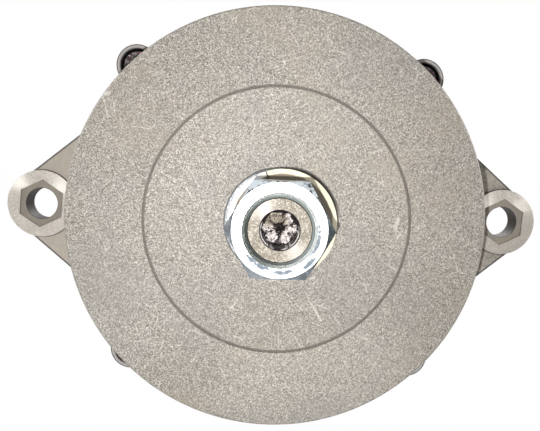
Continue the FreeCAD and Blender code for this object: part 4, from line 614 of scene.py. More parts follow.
def facing(tree, axis):
    """How far the surface faces along an axis, from -1 to 1."""
    return add(tree, "ShaderNodeSeparateXYZ", {0: add(tree, "ShaderNodeTexCoord", {}, "Normal")}, axis)


zinc_finish, tree, shader = blank_material("clear_zinc")
radius = distance_from_axis(tree)
toward = facing(tree, "Y")
ring_height = placed(tree, rings, Pitch=0.35 * MM, Wander=0.8)[0]
angle = angle_of(along(tree, "Z"), along(tree, "X"))
flank_noise = spread(noise(tree, 170.0, 4.0, 0.6), 0.32, 0.68)
colour = blended(flank_noise, NUT_FLANK_DARK, NUT_FLANK)

# The chamfers at the corners, with painted reflection and streaks, and the countersink inside the face
on_slope = spread(toward, -0.45, -0.6)
# Painted reflection: the crown dark, lighter towards one side
crown_highlight_share = nearness(angle, CROWN_HIGHLIGHT_SIDE) * 0.2 + nearness(angle * 2.0, 2 * CROWN_HIGHLIGHT_AXIS) * 0.24
streak_size = spread(along(tree, "Z"), *CROWN_STREAKS_UP, 0.12, 0.9)
crown_streak = spread(noise(tree, 330.0, 3.0, 0.65), 0.4, 0.6, -1.0, 1.0) * streak_size
crown_reflection = crown_highlight_share + crown_streak + 0.36
crown = blended(crown_reflection, NUT_CROWN_DARK_REFLECTION, NUT_CROWN_HIGHLIGHT)
colour = blended(on_slope, colour, crown)
inside = on_slope * spread(radius, NUT_FACE_IN + 0.2 * MM, NUT_FACE_IN)
# The countersink is painted darker on one side, as shade
sink_colour = blended(away_from(angle, CHAMFER_SHADE_TOWARD), NUT_SINK_SHADE, NUT_COUNTERSINK)
colour = blended(inside, colour, sink_colour)

# The turned face, its smudges and painted shade
streaks = spread(noise(tree, 800.0, 4.0, 0.7), 0.35, 0.65, -0.6, 0.6)
smudge_and_shade = 0.0
for toward_mark, half_width, mark_radius, half_thickness in NUT_SMUDGES_AND_SHADE:
    beside = toward_side(angle, toward_mark, 1.5 * half_width)
    within = spread(abs(radius - mark_radius * MM), 1.5 * half_thickness * MM, 0.0)
    smudge_and_shade = largest(smudge_and_shade, beside * within)
smudge_and_shade = spread(smudge_and_shade + smudge_and_shade * streaks, 0.06, 0.58)
face_colour = blended(smudge_and_shade * 0.85, NUT_FACE, NUT_SMUDGE_AND_SHADE)
on_face = spread(toward, -0.95, -0.99)
colour = blended(on_face, colour, face_colour)
dull = smudge_and_shade * on_face
rough = largest(spread(flank_noise, 0.0, 1.0, 0.22, 0.34), dull * 0.8)
metal = spread(dull, 0.0, 1.0, 0.9, 0.2)
joined_to(shader, colour, rough, ring_height, metallic=metal, strength=0.15, depth=0.03)
dress(zinc_finish, "shaft_nut")


# Washers
# A split spring washer over a thick flat one, both zinc plated steel with a yellow tint. The left is
# painted white as a painted highlight, and the face under the nut is painted brown as painted shade.
WASHER_CREAM = (229, 219, 192)
WASHER_HIGHLIGHT = (252, 252, 250)
WASHER_NUT_SHADE = (132, 120, 104)
WASHER_ASIDE = 1.3 * MM
WASHER_HIGHLIGHT_REACH = (-4.0 * MM, -7.0 * MM)
WASHER_NUT_SHADE_REACH = 16.1 * MM
WASHER_EDGE = (128, 130, 132)
FLAT_WASHER_COLOUR = (150, 152, 152)
FLAT_WASHER_SPECK = (226, 228, 228)

washer_finish, tree, shader = blank_material("yellow_zinc")
radius = distance_from_axis(tree, WASHER_ASIDE)
# Painted highlight on the left
colour = blended(spread(along(tree, "X"), *WASHER_HIGHLIGHT_REACH), WASHER_CREAM, WASHER_HIGHLIGHT)
washer_noise = noise(tree, 420.0, 3.0, 0.6)
# Painted shade of the nut on the washer's face, with a wavy edge
nut_shade_edge = radius + spread(washer_noise, 0.3, 0.7, -0.2 * MM, 0.2 * MM)
colour = blended(spread(nut_shade_edge, WASHER_NUT_SHADE_REACH, WASHER_NUT_SHADE_REACH - 0.4 * MM), colour, WASHER_NUT_SHADE)
colour = blended(spread(facing(tree, "Y"), -0.7, -0.3), colour, WASHER_EDGE)
rough = spread(washer_noise, 0.3, 0.7, 0.52, 0.66)
joined_to(shader, colour, rough, washer_noise, metallic=0.4, strength=0.25, depth=0.06)
dress(washer_finish, "spring_washer")

flat_finish, tree, shader = blank_material("dull_zinc")
colour, rough, height = grained(
    tree, FLAT_WASHER_COLOUR, WASHER_EDGE, FLAT_WASHER_SPECK, clouds=(180.0, 0.5), cells=(1600.0, 0.4),
)
colour = blended(spread(facing(tree, "Y"), -0.85, -0.6), colour, WASHER_EDGE)
joined_to(shader, colour, rough, height, metallic=0.6, strength=0.25, depth=0.05)
dress(flat_finish, "flat_washer")


# Spacer collar
# A ground steel tube between the fan's hub and the front bearing, slipped over the shaft and
# clamped with them by the nut.
COLLAR_COLOUR = (172, 172, 170)
COLLAR_SHADE = (120, 119, 116)
COLLAR_FEED = 0.6 * MM


def feed_marks(tree, pitch):
    """Marks of a tool fed along the shaft: a sine of the station over the pitch."""
    return sine(along(tree, "Y") * (2 * math.pi / pitch))


collar_finish, tree, shader = blank_material("ground_steel")
colour, rough = grained(
    tree, COLLAR_COLOUR, COLLAR_SHADE, FLAT_WASHER_SPECK, clouds=(120.0, 0.4), cells=(1500.0, 0.25),
    roughness=(0.25, 0.4),
)[:2]
feed = feed_marks(tree, COLLAR_FEED)
joined_to(shader, colour, rough, feed, metallic=0.85, strength=0.2, depth=0.03)
dress(collar_finish, "spacer_collar")


# Drive end housing
# A sand cast aluminium casting with a dull, warm grey skin, painted paler on the left as painted
# light. The ears' front faces are milled pale and bright, with darker recesses. The hollows and the
# lugs' cups are painted dark as shade. The rear housing is cast alike.
housing_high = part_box("drive_end_housing")[1]
CAST_COLOUR = (200, 193, 181)
CAST_SHADE = (142, 136, 125)
CAST_SPECK = (228, 221, 210)
CAST_LIT_LEFT = (222, 211, 197)
EDGE_SHADE_LINE = (58, 60, 64)
HOLLOW_SHADE = (48, 45, 45)
HOLLOW_REACH = 4.0 * MM

# Where the painted light towards the left begins and ends, and its share at both
LIT_LEFT_REACH = (0.0, -60.0 * MM, 0.0, 0.7)

EAR_BOSS = 12.8 * MM
EAR_CENTRE = housing_high.x - EAR_BOSS
EAR_FRONT = -9.5 * MM
EAR_HOLE = 6.0 * MM
EAR_RECESS_DEPTH = 0.8 * MM
EAR_RECESS_REACH = 9.4 * MM
MILLED = (243, 234, 223)
MILLED_GLINT = (255, 251, 242)
RECESS = (163, 155, 146)
RECESS_PALE = (178, 168, 154)
HOLE_SHADE = (84, 80, 77)

# The ears' glints: side in degrees and sharpness, and where they fade in upwards. The shade low
# on the right ear: its direction, and its reach and share along it.
EAR_GLINTS = ((42, 18.0), (142, 9.0))
EAR_GLINT_UP = (-1.0 * MM, 5.0 * MM)
EAR_SHADE_TOWARD = (0.5, 0.86)
EAR_SHADE_REACH = (-4.0 * MM, 12.0 * MM, 0.0, 0.45)

LUG_PLACE = 74.0 * MM * math.cos(math.radians(45))
LUG_FRONT = -20.7 * MM
LUG_RADIUS = 7.5 * MM
LUG_REACH = 8.5 * MM
LUG_CUP = 6.1 * MM
LUG_CUP_DEPTH = 7.2 * MM
LUG_CUP_SHADE_DEPTH = (0.2 * MM, 2.6 * MM)
LUG_PALE = (206, 202, 200)
LUG_WALL_SHADE = (118, 112, 110)

# The webs' slanted sides: how far back, their direction, and how far out they run
WEB_DEPTH = 1.2 * MM
WEB_LEAN = 0.6389
WEB_RISE = 0.7693
WEB_ROOT = 69.3 * MM
WEB_LINE = (0.75 * MM, 0.45 * MM)


def between(value, low, high, soft):
    """1 where a value lies between two limits, 0 outside them, with soft edges."""
    return worked("MINIMUM", spread(value, low - soft, low), spread(value, high + soft, high))


cast_finish, tree, shader = blank_material("cast_skin")
across, station, up = (along(tree, axis) for axis in "XYZ")
colour, rough, height = grained(
    tree, CAST_COLOUR, CAST_SHADE, CAST_SPECK, clouds=(70.0, 0.55), cells=(1300.0, 0.45),
    roughness=(0.5, 0.72),
)
hollow = add(tree, "ShaderNodeAmbientOcclusion", {"Distance": HOLLOW_REACH}, "AO", samples=6)
# Painted shade in the hollows, from ambient occlusion
colour = blended(spread(hollow, 0.9, 0.25, 0.0, 0.7), colour, HOLLOW_SHADE)

# The ears' milled faces, with two glints, and a shade low on the right one
forward = spread(facing(tree, "Y"), -0.9, -0.97)
depth = station - EAR_FRONT
side_x = abs(across) - EAR_CENTRE
from_hole = diagonal(side_x, up)
in_boss = spread(from_hole, EAR_BOSS + 0.1 * MM, EAR_BOSS)
on_front = between(depth, -0.2 * MM, 0.2 * MM, 0.1 * MM) * forward
cream = grained(
    tree, MILLED, RECESS, MILLED_GLINT, clouds=(110.0, 0.3), cells=(1700.0, 0.35), roughness=(0.3, 0.5),
)[0]
glint_angle = angle_of(up, side_x)
glint = sheen_across(glint_angle, *EAR_GLINTS[0]) + sheen_across(glint_angle, *EAR_GLINTS[1])
glint = glint * spread(up, *EAR_GLINT_UP)
glint = glint * spread(noise(tree, 260.0, 3.0), 0.35, 0.55, 0.55, 1.0)
cream = blended(glint * 0.9, cream, MILLED_GLINT)
low_right = side_x * EAR_SHADE_TOWARD[0] - up * EAR_SHADE_TOWARD[1]
right_ear = spread(across, 0.0, 1.0 * MM)
low_right = spread(low_right, *EAR_SHADE_REACH) * right_ear
cream = blended(low_right, cream, RECESS)
# Painted light: paler towards the left
lit_left = forward * spread(across, *LIT_LEFT_REACH)
colour = blended(lit_left, colour, CAST_LIT_LEFT)
milled = on_front * in_boss
colour = blended(milled, colour, cream)

# The ears' recesses, and their holes painted dark as shade
in_recess = spread(from_hole, EAR_RECESS_REACH + 0.1 * MM, EAR_RECESS_REACH)
recess_floor = between(depth, EAR_RECESS_DEPTH - 0.2 * MM, EAR_RECESS_DEPTH + 0.2 * MM, 0.1 * MM)
recess_floor = recess_floor * forward * in_recess
floor_shade = spread(noise(tree, 150.0, 3.0), 0.35, 0.65)
colour = blended(recess_floor, colour, blended(floor_shade, RECESS, RECESS_PALE))
in_hole = spread(from_hole, EAR_HOLE + 0.2 * MM, EAR_HOLE + 0.1 * MM)
in_hole = in_hole * spread(depth, EAR_RECESS_DEPTH - 0.1 * MM, EAR_RECESS_DEPTH)
colour = blended(in_hole, colour, HOLE_SHADE)

# The lugs: a pale front, an edge of painted shade, and a cup painted darker inwards as shade
lug_x = abs(across) - LUG_PLACE
lug_z = abs(up) - LUG_PLACE
from_lug = diagonal(lug_x, lug_z)
into_lug = station - LUG_FRONT
on_lug = spread(into_lug, 0.3 * MM, 0.1 * MM) * spread(from_lug, LUG_REACH + 0.5 * MM, LUG_REACH)
lug_light = spread(from_lug, LUG_CUP, LUG_CUP + 0.5 * MM)
lug_colour = blended(lug_light, LUG_WALL_SHADE, LUG_PALE)
lug_edge = spread(from_lug, LUG_RADIUS - 0.45 * MM, LUG_RADIUS - 0.25 * MM)
lug_colour = blended(lug_edge, lug_colour, EDGE_SHADE_LINE)
colour = blended(on_lug * 0.85, colour, lug_colour)
in_cup = spread(from_lug, LUG_CUP + 0.15 * MM, LUG_CUP + 0.05 * MM)
in_cup = in_cup * between(into_lug, 0.2 * MM, LUG_CUP_DEPTH, 0.2 * MM)
cup_colour = blended(spread(into_lug, *LUG_CUP_SHADE_DEPTH), LUG_WALL_SHADE, HOLLOW_SHADE)
colour = blended(in_cup * 0.95, colour, cup_colour)

# Thin lines of painted shade beside the webs and round the ears
web_inset = WEB_ROOT - (abs(across) * WEB_LEAN + abs(up) * WEB_RISE)
on_web = between(depth, WEB_DEPTH - 0.3 * MM, WEB_DEPTH + 0.3 * MM, 0.1 * MM) * forward
round_boss = spread(from_hole, EAR_BOSS + 0.45 * MM, EAR_BOSS + 0.2 * MM)
edge_shade = largest(spread(web_inset, *WEB_LINE), round_boss)
colour = blended(edge_shade * on_web * 0.8, colour, EDGE_SHADE_LINE)

metal = spread(largest(forward, milled), 0.0, 1.0, 0.35, 0.0)
metal = largest(metal, glint * milled * 0.7)
joined_to(shader, colour, rough, height * (1.0 - milled), metallic=metal, strength=0.5, depth=0.2)
lead(0.25, shader.inputs["Specular IOR Level"])
dress(cast_finish, "drive_end_housing", "rear_housing")


# Through bolts
# Four steel socket head bolts, knurled round the head, which clamp both housings on the stator.
# Dabs of pale red locking varnish lie on their dark heads.
BOLT_SEAT = -13.7 * MM
BOLT_HEAD_HEIGHT = 6.0 * MM
BOLT_HEAD_RADIUS = 5.0 * MM
KNURL_DEPTH = 0.28 * MM
KNURL_TEETH = 40
KNURL_BACK = 0.3 * MM
KNURL_FRONT = 1.0 * MM
KNURL_BEVEL = 0.3 * MM
BOLT_COLOUR = (62, 54, 56)
BOLT_SHADE = (48, 42, 42)
BOLT_GLINT = (240, 236, 232)
BOLT_SHANK = (138, 136, 130)
VARNISH = (226, 140, 160)

bolt_finish, tree, shader = blank_material("varnished_bolt")
colour, rough, height = grained(
    tree, BOLT_COLOUR, BOLT_SHADE, BOLT_GLINT, clouds=(420.0, 0.8), cells=(1500.0, 0.25),
    roughness=(0.25, 0.45),
)
on_head = spread(along(tree, "Y"), BOLT_SEAT + 0.1 * MM, BOLT_SEAT - 0.1 * MM)
colour = blended(spread(on_head, 0.7, 0.0, 0.0, 0.8), colour, BOLT_SHANK)
dabs = spread(noise(tree, 900.0, 3.0, 0.7), 0.58, 0.63)
colour = blended(dabs * on_head * 0.75, colour, VARNISH)
joined_to(shader, colour, rough, height, metallic=0.7, strength=0.3, depth=0.08)
dress(bolt_finish, "through_bolts")

# Knurling: a ring of vertical ridges, its radius the head's plus the size of a sine of the angle
around = round_angles(KNURL_TEETH * 4)
knurl = BOLT_HEAD_RADIUS + KNURL_DEPTH * np.abs(np.sin(around * KNURL_TEETH / 2))
head_end = BOLT_SEAT - BOLT_HEAD_HEIGHT
stations = np.array([BOLT_SEAT - KNURL_BACK, head_end + KNURL_FRONT, head_end + KNURL_FRONT - KNURL_BEVEL])
sizes = np.stack([knurl, knurl, np.full_like(knurl, BOLT_HEAD_RADIUS)])
for name, side, up in (("top_left", -1, 1), ("top_right", 1, 1), ("low_left", -1, -1), ("low_right", 1, -1)):
    x, z = side * LUG_PLACE + sizes * np.cos(around), up * LUG_PLACE + sizes * np.sin(around)
    grid = points_at(x, stations[:, None], z)
    knurling = closed_grid(f"bolt_knurling_{name}", grid, bolt_finish)
    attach(knurling, "frame")


# Bearings
# Hardened chrome steel rings and balls, a pressed steel cage, and brown rubber seals. A pressed
# plate, the retainer, holds the front one in its housing.
BEARING_COLOUR = (186, 188, 190)
BEARING_SHADE = (134, 136, 140)
bearing_finish, tree, shader = blank_material("bearing_steel")
colour, rough = grained(
    tree, BEARING_COLOUR, BEARING_SHADE, BOLT_GLINT, clouds=(90.0, 0.3), cells=(1800.0, 0.1),
    roughness=(0.14, 0.24),
)[:2]
ring_height = placed(tree, rings, Pitch=0.3 * MM, Wander=1.5)[0]
joined_to(shader, colour, rough, ring_height, metallic=0.95, strength=0.1, depth=0.02)


def plain_finish(name, colours, clouds, cells, roughness, metallic, strength, depth):
    """A material of the surface's grain alone."""
    material, tree, shader = blank_material(name)
    colour, rough, height = grained(tree, *colours, clouds, cells, roughness)
    joined_to(shader, colour, rough, height, metallic, strength, depth)
    return material


CAGE_COLOUR = (150, 146, 134)
CAGE_SHADE = (96, 92, 82)
cage_finish = plain_finish(
    "pressed_steel", (CAGE_COLOUR, CAGE_SHADE, BEARING_COLOUR), clouds=(150.0, 0.5), cells=(1400.0, 0.25),
    roughness=(0.42, 0.60), metallic=0.8, strength=0.2, depth=0.05,
)

RUBBER_COLOUR = (74, 52, 42)
RUBBER_SHADE = (48, 36, 31)
RUBBER_DUST = (112, 96, 86)
rubber_finish = plain_finish(
    "seal_rubber", (RUBBER_COLOUR, RUBBER_SHADE, RUBBER_DUST), clouds=(130.0, 0.6), cells=(1100.0, 0.35),
    roughness=(0.6, 0.85), metallic=0.0, strength=0.3, depth=0.08,
)

for name in sorted(nodes):
    if "cage" in name or name == "bearing_retainer":
        dress(cage_finish, name)
    elif "seal" in name:
        dress(rubber_finish, name)
    elif "bearing" in name:
        dress(bearing_finish, name)


# Claw poles and rotor core
# Forged soft iron, turned on the outside only, with a thin film of dark varnish and pale rust.
# The poles are pressed on the shaft from both ends of the core, and their fingers clasp the coil.
POLE_COLOUR = (112, 106, 98)
POLE_SHADE = (70, 64, 58)
POLE_SPECK = (168, 160, 148)
POLE_TURNED = (172, 168, 160)
ROTOR_RADIUS = 49.0 * MM
pole_finish, tree, shader = blank_material("forged_iron")
colour, rough, height = grained(
    tree, POLE_COLOUR, POLE_SHADE, POLE_SPECK, clouds=(95.0, 0.7), cells=(900.0, 0.4),
    roughness=(0.45, 0.65),
)
turned_skin = spread(distance_from_axis(tree), ROTOR_RADIUS - 0.3 * MM, ROTOR_RADIUS - 0.1 * MM)
colour = blended(turned_skin * 0.85, colour, POLE_TURNED)
joined_to(shader, colour, rough, height, metallic=0.7, strength=0.4, depth=0.15)
dress(pole_finish, "front_claw_pole", "rear_claw_pole", "rotor_core")


# Field coil and bobbin
# Enamelled copper wire wound in layers on a glass filled nylon bobbin. The stator's phases are
# of the same wire, and the other dark mouldings of the same nylon.
WIRE_COLOUR = (158, 84, 44)
WIRE_SHADE = (98, 46, 24)
WIRE_GLINT = (226, 150, 96)
WIRE_PITCH = 0.8 * MM

# Wires laid side by side round the shaft: ridges on radius and on station
strands, own, given = new_group("laid_wires", ("Pitch",), ("Height",))
ridges = [
    abs(sine(measure / own["Pitch"] * math.pi))
    for measure in (distance_from_axis(strands), along(strands, "Y"))
]
lead(ridges[0] * ridges[1], given["Height"])

wire_finish, tree, shader = blank_material("enamelled_wire")
laid = placed(tree, strands, Pitch=WIRE_PITCH)[0]
colour, rough = grained(
    tree, WIRE_COLOUR, WIRE_SHADE, WIRE_GLINT, clouds=(120.0, 0.6), cells=(1500.0, 0.2),
    roughness=(0.22, 0.38),
)[:2]
# The gaps between the wires are painted darker, as shade
colour = blended(spread(laid, 0.45, 0.1), colour, WIRE_SHADE)
joined_to(shader, colour, rough, laid, metallic=0.45, strength=0.9, depth=0.35)
lead(0.5, shader.inputs["Coat Weight"])
lead(0.12, shader.inputs["Coat Roughness"])
dress(wire_finish, "field_coil", "stator_phase_1", "stator_phase_2", "stator_phase_3", "stator_leads")

NYLON_COLOUR = (58, 56, 52)
NYLON_SHADE = (38, 37, 35)
NYLON_SPECK = (96, 94, 90)
nylon_finish = plain_finish(
    "dark_moulding", (NYLON_COLOUR, NYLON_SHADE, NYLON_SPECK), clouds=(85.0, 0.5), cells=(1900.0, 0.35),
    roughness=(0.38, 0.6), metallic=0.0, strength=0.3, depth=0.05,
)
dress(nylon_finish, "coil_bobbin", "slip_ring_insulator", "brush_holder", "terminal_board", "output_bush",
      "regulator", "heat_sink_spacers")


# Slip rings, brushes and springs
# Copper rings on an insulator, run bright by two pressed carbon brushes. A coil spring of steel
# wire, which stands in the holder above each brush, presses it down.
SLIP_COLOUR = (214, 138, 98)
SLIP_SHADE = (142, 82, 54)
SLIP_GLINT = (248, 196, 160)
SLIP_FEED = 0.45 * MM
slip_finish, tree, shader = blank_material("run_copper")
colour, rough = grained(
    tree, SLIP_COLOUR, SLIP_SHADE, SLIP_GLINT, clouds=(160.0, 0.35), cells=(1500.0, 0.15),
    roughness=(0.2, 0.35),
)[:2]
track = feed_marks(tree, SLIP_FEED)
colour = blended(spread(track, 0.2, 1.0, 0.0, 0.4), colour, SLIP_SHADE)
joined_to(shader, colour, rough, track, metallic=0.9, strength=0.2, depth=0.03)
dress(slip_finish, "slip_ring_front", "slip_ring_rear")

CARBON_COLOUR = (52, 51, 52)
CARBON_SHADE = (30, 29, 30)
CARBON_SPECK = (120, 112, 104)
carbon_finish = plain_finish(
    "pressed_carbon", (CARBON_COLOUR, CARBON_SHADE, CARBON_SPECK), clouds=(260.0, 0.4), cells=(2400.0, 0.4),
    roughness=(0.5, 0.7), metallic=0.1, strength=0.25, depth=0.05,
)
dress(carbon_finish, "brush_front", "brush_rear")

SPRING_COLOUR = (150, 150, 152)
SPRING_SHADE = (96, 97, 102)
spring_finish = plain_finish(
    "spring_wire", (SPRING_COLOUR, SPRING_SHADE, BOLT_GLINT), clouds=(500.0, 0.4), cells=(2600.0, 0.2),
    roughness=(0.2, 0.3), metallic=0.9, strength=0.15, depth=0.03,
)

SPRING_WIRE = 0.35 * MM
SPRING_RADIUS = 1.9 * MM
SPRING_TURNS = 7
SPRING_STEPS = 28
SPRING_SIDES = 12
SPRING_CLOSE_TURN = 0.75 * MM


def coil_spring(end_name):
    """A coil spring along Z, fitted between the ends of its CAD node's box, in that node's place.

    A round wire is carried along a helix. Its height grows by one close turn at each end, and
    the turns between them share out the rest. Two directions carry the wire's circle: away from
    the coil's middle line, and the cross product of that with the helix's tangent.
    """
    low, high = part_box(f"brush_spring_{end_name}")
    foot, head = low.z + SPRING_WIRE, high.z - SPRING_WIRE
    turn = np.linspace(0, SPRING_TURNS, SPRING_TURNS * SPRING_STEPS + 1)
    height = np.interp(turn, (0, 1, SPRING_TURNS - 1, SPRING_TURNS),
                       (foot, foot + SPRING_CLOSE_TURN, head - SPRING_CLOSE_TURN, head))
    angle = 2 * math.pi * turn
    outward = np.stack([np.cos(angle), np.sin(angle), np.zeros_like(angle)], axis=-1)
    middle = np.array([(low.x + high.x) / 2, (low.y + high.y) / 2, 0]) + SPRING_RADIUS * outward
    middle[:, 2] = height
    tangent = np.gradient(middle, axis=0)
    across = np.cross(tangent / np.linalg.norm(tangent, axis=1, keepdims=True), outward)
    section = round_angles(SPRING_SIDES)[:, None]
    circle = np.cos(section) * outward[:, None] + np.sin(section) * across[:, None]
    grid = middle[:, None] + SPRING_WIRE * circle
    spring = closed_grid(f"brush_coil_{end_name}", grid, spring_finish)
    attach(spring, "frame")
    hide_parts(f"brush_spring_{end_name}")
    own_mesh(spring)


coil_spring("front")
coil_spring("rear")


# Stator core
# Thin iron sheets stacked and welded along twelve grooves, with a thin coat of clear varnish
# over a blue grey oxide that has rusted a little at the edges.
stator_low, stator_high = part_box("stator_core")
SHEET_PITCH = 0.65 * MM
WELD_COUNT = 12
WELD_FIRST = math.radians(15)
WELD_END = 0.4 * MM
WELD_SINK = 0.9 * MM
WELD_FLATNESS = 0.75
WELD_ROWS = 118
WELD_SIDES = 12
WELD_WIDTH = 1.15 * MM
WELD_RIPPLE = 0.16 * MM
WELD_RIPPLE_PITCH = 1.1 * MM
SHEET_COLOUR = (128, 126, 122)
SHEET_SHADE = (82, 80, 78)
SHEET_RUST = (128, 92, 66)
SHEET_GLINT = (182, 180, 176)
WELD_COLOUR = (120, 120, 124)


def stretched(tree, *scale):
    """The surface's place with its axes scaled, for streaks in one direction."""
    return add(tree, "ShaderNodeMapping", {"Vector": object_place(tree), "Scale": scale})


sheet_finish, tree, shader = blank_material("stacked_sheets")
colour, rough = grained(
    tree, SHEET_COLOUR, SHEET_SHADE, SHEET_GLINT, clouds=(60.0, 0.5), cells=(1300.0, 0.3),
    roughness=(0.35, 0.55),
)[:2]
sheets = abs(sine(along(tree, "Y") * (math.pi / SHEET_PITCH)))
uneven = noise(tree, 60.0, 2.0, place=stretched(tree, 1.0, 26.0, 1.0))
colour = blended(spread(uneven, 0.4, 0.64, 0.0, 0.55), colour, SHEET_GLINT)
colour = blended(spread(sheets, 0.5, 0.05), colour, SHEET_SHADE)
rusted = spread(noise(tree, 75.0, 5.0, 0.7), 0.56, 0.7, 0.0, 0.6)
colour = blended(rusted, colour, SHEET_RUST)
joined_to(shader, colour, rough, sheets, metallic=0.55, strength=0.7, depth=0.12)
dress(sheet_finish, "stator_core")

weld_finish = plain_finish(
    "weld_bead", (WELD_COLOUR, SHEET_SHADE, BOLT_GLINT), clouds=(300.0, 0.7), cells=(1600.0, 0.3),
    roughness=(0.25, 0.45), metallic=0.8, strength=0.3, depth=0.06,
)

# A bead: a round section carried along the groove, its radius swelling and its middle
# shifting with each ripple of the pool
length = np.linspace(stator_low.y + WELD_END, stator_high.y - WELD_END, WELD_ROWS)[:, None]
around = round_angles(WELD_SIDES)
wave = np.abs(np.sin(math.pi * length / WELD_RIPPLE_PITCH + 0.35 * np.cos(around)))
bead = WELD_WIDTH - WELD_RIPPLE * (1 - wave)
for index in range(WELD_COUNT):
    middle = WELD_FIRST + index * 2 * math.pi / WELD_COUNT
    out = stator_high.z - WELD_SINK + bead * WELD_FLATNESS * np.cos(around)
    aside = bead * np.sin(around)
    x = out * math.cos(middle) - aside * math.sin(middle)
    grid = points_at(x, length, out * math.sin(middle) + aside * math.cos(middle))
    weld = closed_grid(f"stator_weld_{index + 1}", grid, weld_finish)
    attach(weld, "frame")


# Rectifier
# Diodes pressed into two aluminium plates, which carry their heat off, with their wires
# soldered to a moulded board.
SINK_COLOUR = (186, 186, 182)
SINK_SHADE = (140, 140, 136)
sink_finish, tree, shader = blank_material("rolled_aluminium")
streaks = spread(noise(tree, 1500.0, 3.0, 0.6, stretched(tree, 1.0, 1.0, 0.06)), 0.35, 0.65)
colour, rough = grained(
    tree, SINK_COLOUR, SINK_SHADE, BOLT_GLINT, clouds=(70.0, 0.35), cells=(1500.0, 0.15),
    roughness=(0.3, 0.45),
)[:2]
colour = blended(streaks * 0.35, colour, SINK_SHADE)
joined_to(shader, colour, rough, streaks, metallic=0.75, strength=0.2, depth=0.03)

CAN_COLOUR = (198, 192, 178)
CAN_SHADE = (140, 134, 122)
can_finish = plain_finish(
    "tinned_can", (CAN_COLOUR, CAN_SHADE, BOLT_GLINT), clouds=(240.0, 0.5), cells=(1800.0, 0.3),
    roughness=(0.2, 0.35), metallic=0.8, strength=0.2, depth=0.04,
)

PLAIN_BLACK = (34, 34, 35)
BLACK_SPECK = (70, 70, 72)
black_finish = plain_finish(
    "black_moulding", (PLAIN_BLACK, CARBON_SHADE, BLACK_SPECK), clouds=(200.0, 0.5), cells=(2000.0, 0.3),
    roughness=(0.3, 0.5), metallic=0.0, strength=0.2, depth=0.04,
)

BRASS_COLOUR = (214, 208, 188)
BRASS_SHADE = (164, 150, 112)
brass_finish = plain_finish(
    "tinned_brass", (BRASS_COLOUR, BRASS_SHADE, BOLT_GLINT), clouds=(500.0, 0.5), cells=(2200.0, 0.2),
    roughness=(0.2, 0.35), metallic=0.85, strength=0.2, depth=0.03,
)

FASTENER_COLOUR = (186, 190, 188)
FASTENER_SHADE = (132, 138, 138)
FASTENER_TINT = (206, 196, 150)
fastener_finish, tree, shader = blank_material("plated_fastener")
colour, rough, height = grained(
    tree, FASTENER_COLOUR, FASTENER_SHADE, BOLT_GLINT, clouds=(190.0, 0.5), cells=(1700.0, 0.25),
    roughness=(0.2, 0.36),
)
tinted = spread(noise(tree, 130.0, 3.0, 0.6), 0.48, 0.66, 0.0, 0.7)
colour = blended(tinted, colour, FASTENER_TINT)
joined_to(shader, colour, rough, height, metallic=0.85, strength=0.2, depth=0.05)

for name in sorted(nodes):
    if name in ("ground_heat_sink", "output_heat_sink", "suppression_capacitor"):
        dress(sink_finish, name)
    elif name == "exciter_diodes":
        dress(black_finish, name)
    elif name.endswith("_diodes"):
        dress(can_finish, name)
    elif name == "regulator_pins":
        dress(brass_finish, name)
    elif name.endswith("_screws") or name in ("output_nut", "output_washer", "ground_nut"):
        dress(fastener_finish, name)


# Output and ground studs
# Zinc plated steel, each with a hexagon under the cover and a rolled thread from behind its nut
# to the chamfered tip, where the cable's ring terminal goes.
OUTPUT_STEPS = ((88.5, 91.5, 6.5, True), (91.5, 116.1, 4.0, False))
OUTPUT_THREAD = (3.0 * MM, 1.0 * MM)
GROUND_STEPS = ((74.5, 78.0, 3.0, False), (78.0, 103.4, 5.0, True), (103.4, 110.0, 3.0, False))
GROUND_THREAD = (2.5 * MM, 0.8 * MM)
THREAD_ROWS = 14
THREAD_DEPTH = 0.6
STUD_SIDES = 48
STUD_TIP = 0.6 * MM


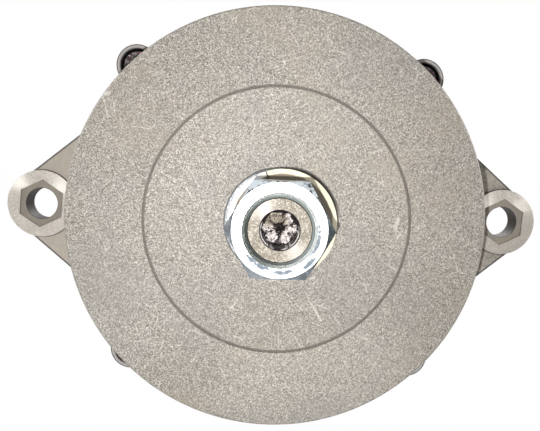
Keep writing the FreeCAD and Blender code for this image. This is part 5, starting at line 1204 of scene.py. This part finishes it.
def threaded_stud(name, node, steps, thread):
    """A stud along Y: round and hexagonal steps, then a rolled thread up to the node's end.

    A step is front, back, size and whether it is a hexagon. Along the thread the radius is the
    full one less 0.6 pitch times the share of the way to the nearest root, and that share is how
    far the station over the pitch less the turn is from a whole number. The thread fades in over
    one pitch, and the tip is cut to a cone.
    """
    low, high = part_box(node)
    across, up = (low.x + high.x) / 2, (low.z + high.z) / 2
    around = round_angles(STUD_SIDES)
    stations, sizes = [], []
    for front, back, size, hexagonal in steps:
        stations += [front * MM, back * MM]
        sizes += [size * MM * (hexagon(around) if hexagonal else np.ones_like(around))] * 2
    radius, pitch = thread
    start = steps[-1][1] * MM
    climb = np.linspace(start, high.y, int((high.y - start) / pitch * THREAD_ROWS))
    share = np.mod(climb[:, None] / pitch - around / (2 * math.pi), 1)
    root = np.clip(1.3 * (1 - np.abs(2 * share - 1)) - 0.15, 0, 1)
    fade = np.clip((climb - start) / pitch, 0, 1)[:, None]
    cone = radius - STUD_TIP + (high.y - climb)[:, None]
    rings = np.minimum(radius - THREAD_DEPTH * pitch * root * fade, cone)
    sizes = np.vstack([np.array(sizes), rings])
    stations = np.concatenate([stations, climb])[:, None]
    grid = points_at(across + sizes * np.cos(around), stations, up + sizes * np.sin(around))
    stud = closed_grid(name, grid, fastener_finish)
    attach(stud, "frame")
    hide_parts(node)


threaded_stud("output_stud_threaded", "output_stud", OUTPUT_STEPS, OUTPUT_THREAD)
threaded_stud("ground_stud_threaded", "ground_stud", GROUND_STEPS, GROUND_THREAD)


# Rear cover
# A pressed steel cover, coated satin black, with dust lying on it and the coat rubbed thin in
# hair scratches. Screws hold it over the rectifier, the regulator and the brushes.
COVER_COLOUR = (44, 44, 46)
COVER_SHADE = (28, 28, 30)
COVER_DUST = (96, 93, 88)
cover_finish, tree, shader = blank_material("satin_black_coat")
colour, rough = grained(
    tree, COVER_COLOUR, COVER_SHADE, COVER_DUST, clouds=(55.0, 0.5), cells=(1500.0, 0.22),
    roughness=(0.32, 0.5),
)[:2]
upward = spread(facing(tree, "Z"), 0.1, 1.0)
dust = spread(noise(tree, 120.0, 5.0, 0.7), 0.4, 0.75, 0.05, 0.5)
colour = blended(dust * upward, colour, COVER_DUST)
colour = blended(placed(tree, scratches, Scale=60.0, Width=0.009)[0] * 0.4, colour, COVER_DUST)
peel = noise(tree, 700.0)
joined_to(shader, colour, rough, peel, metallic=0.0, strength=0.25, depth=0.06)
lead(0.2, shader.inputs["Coat Weight"])
lead(0.3, shader.inputs["Coat Roughness"])
dress(cover_finish, "rear_cover")
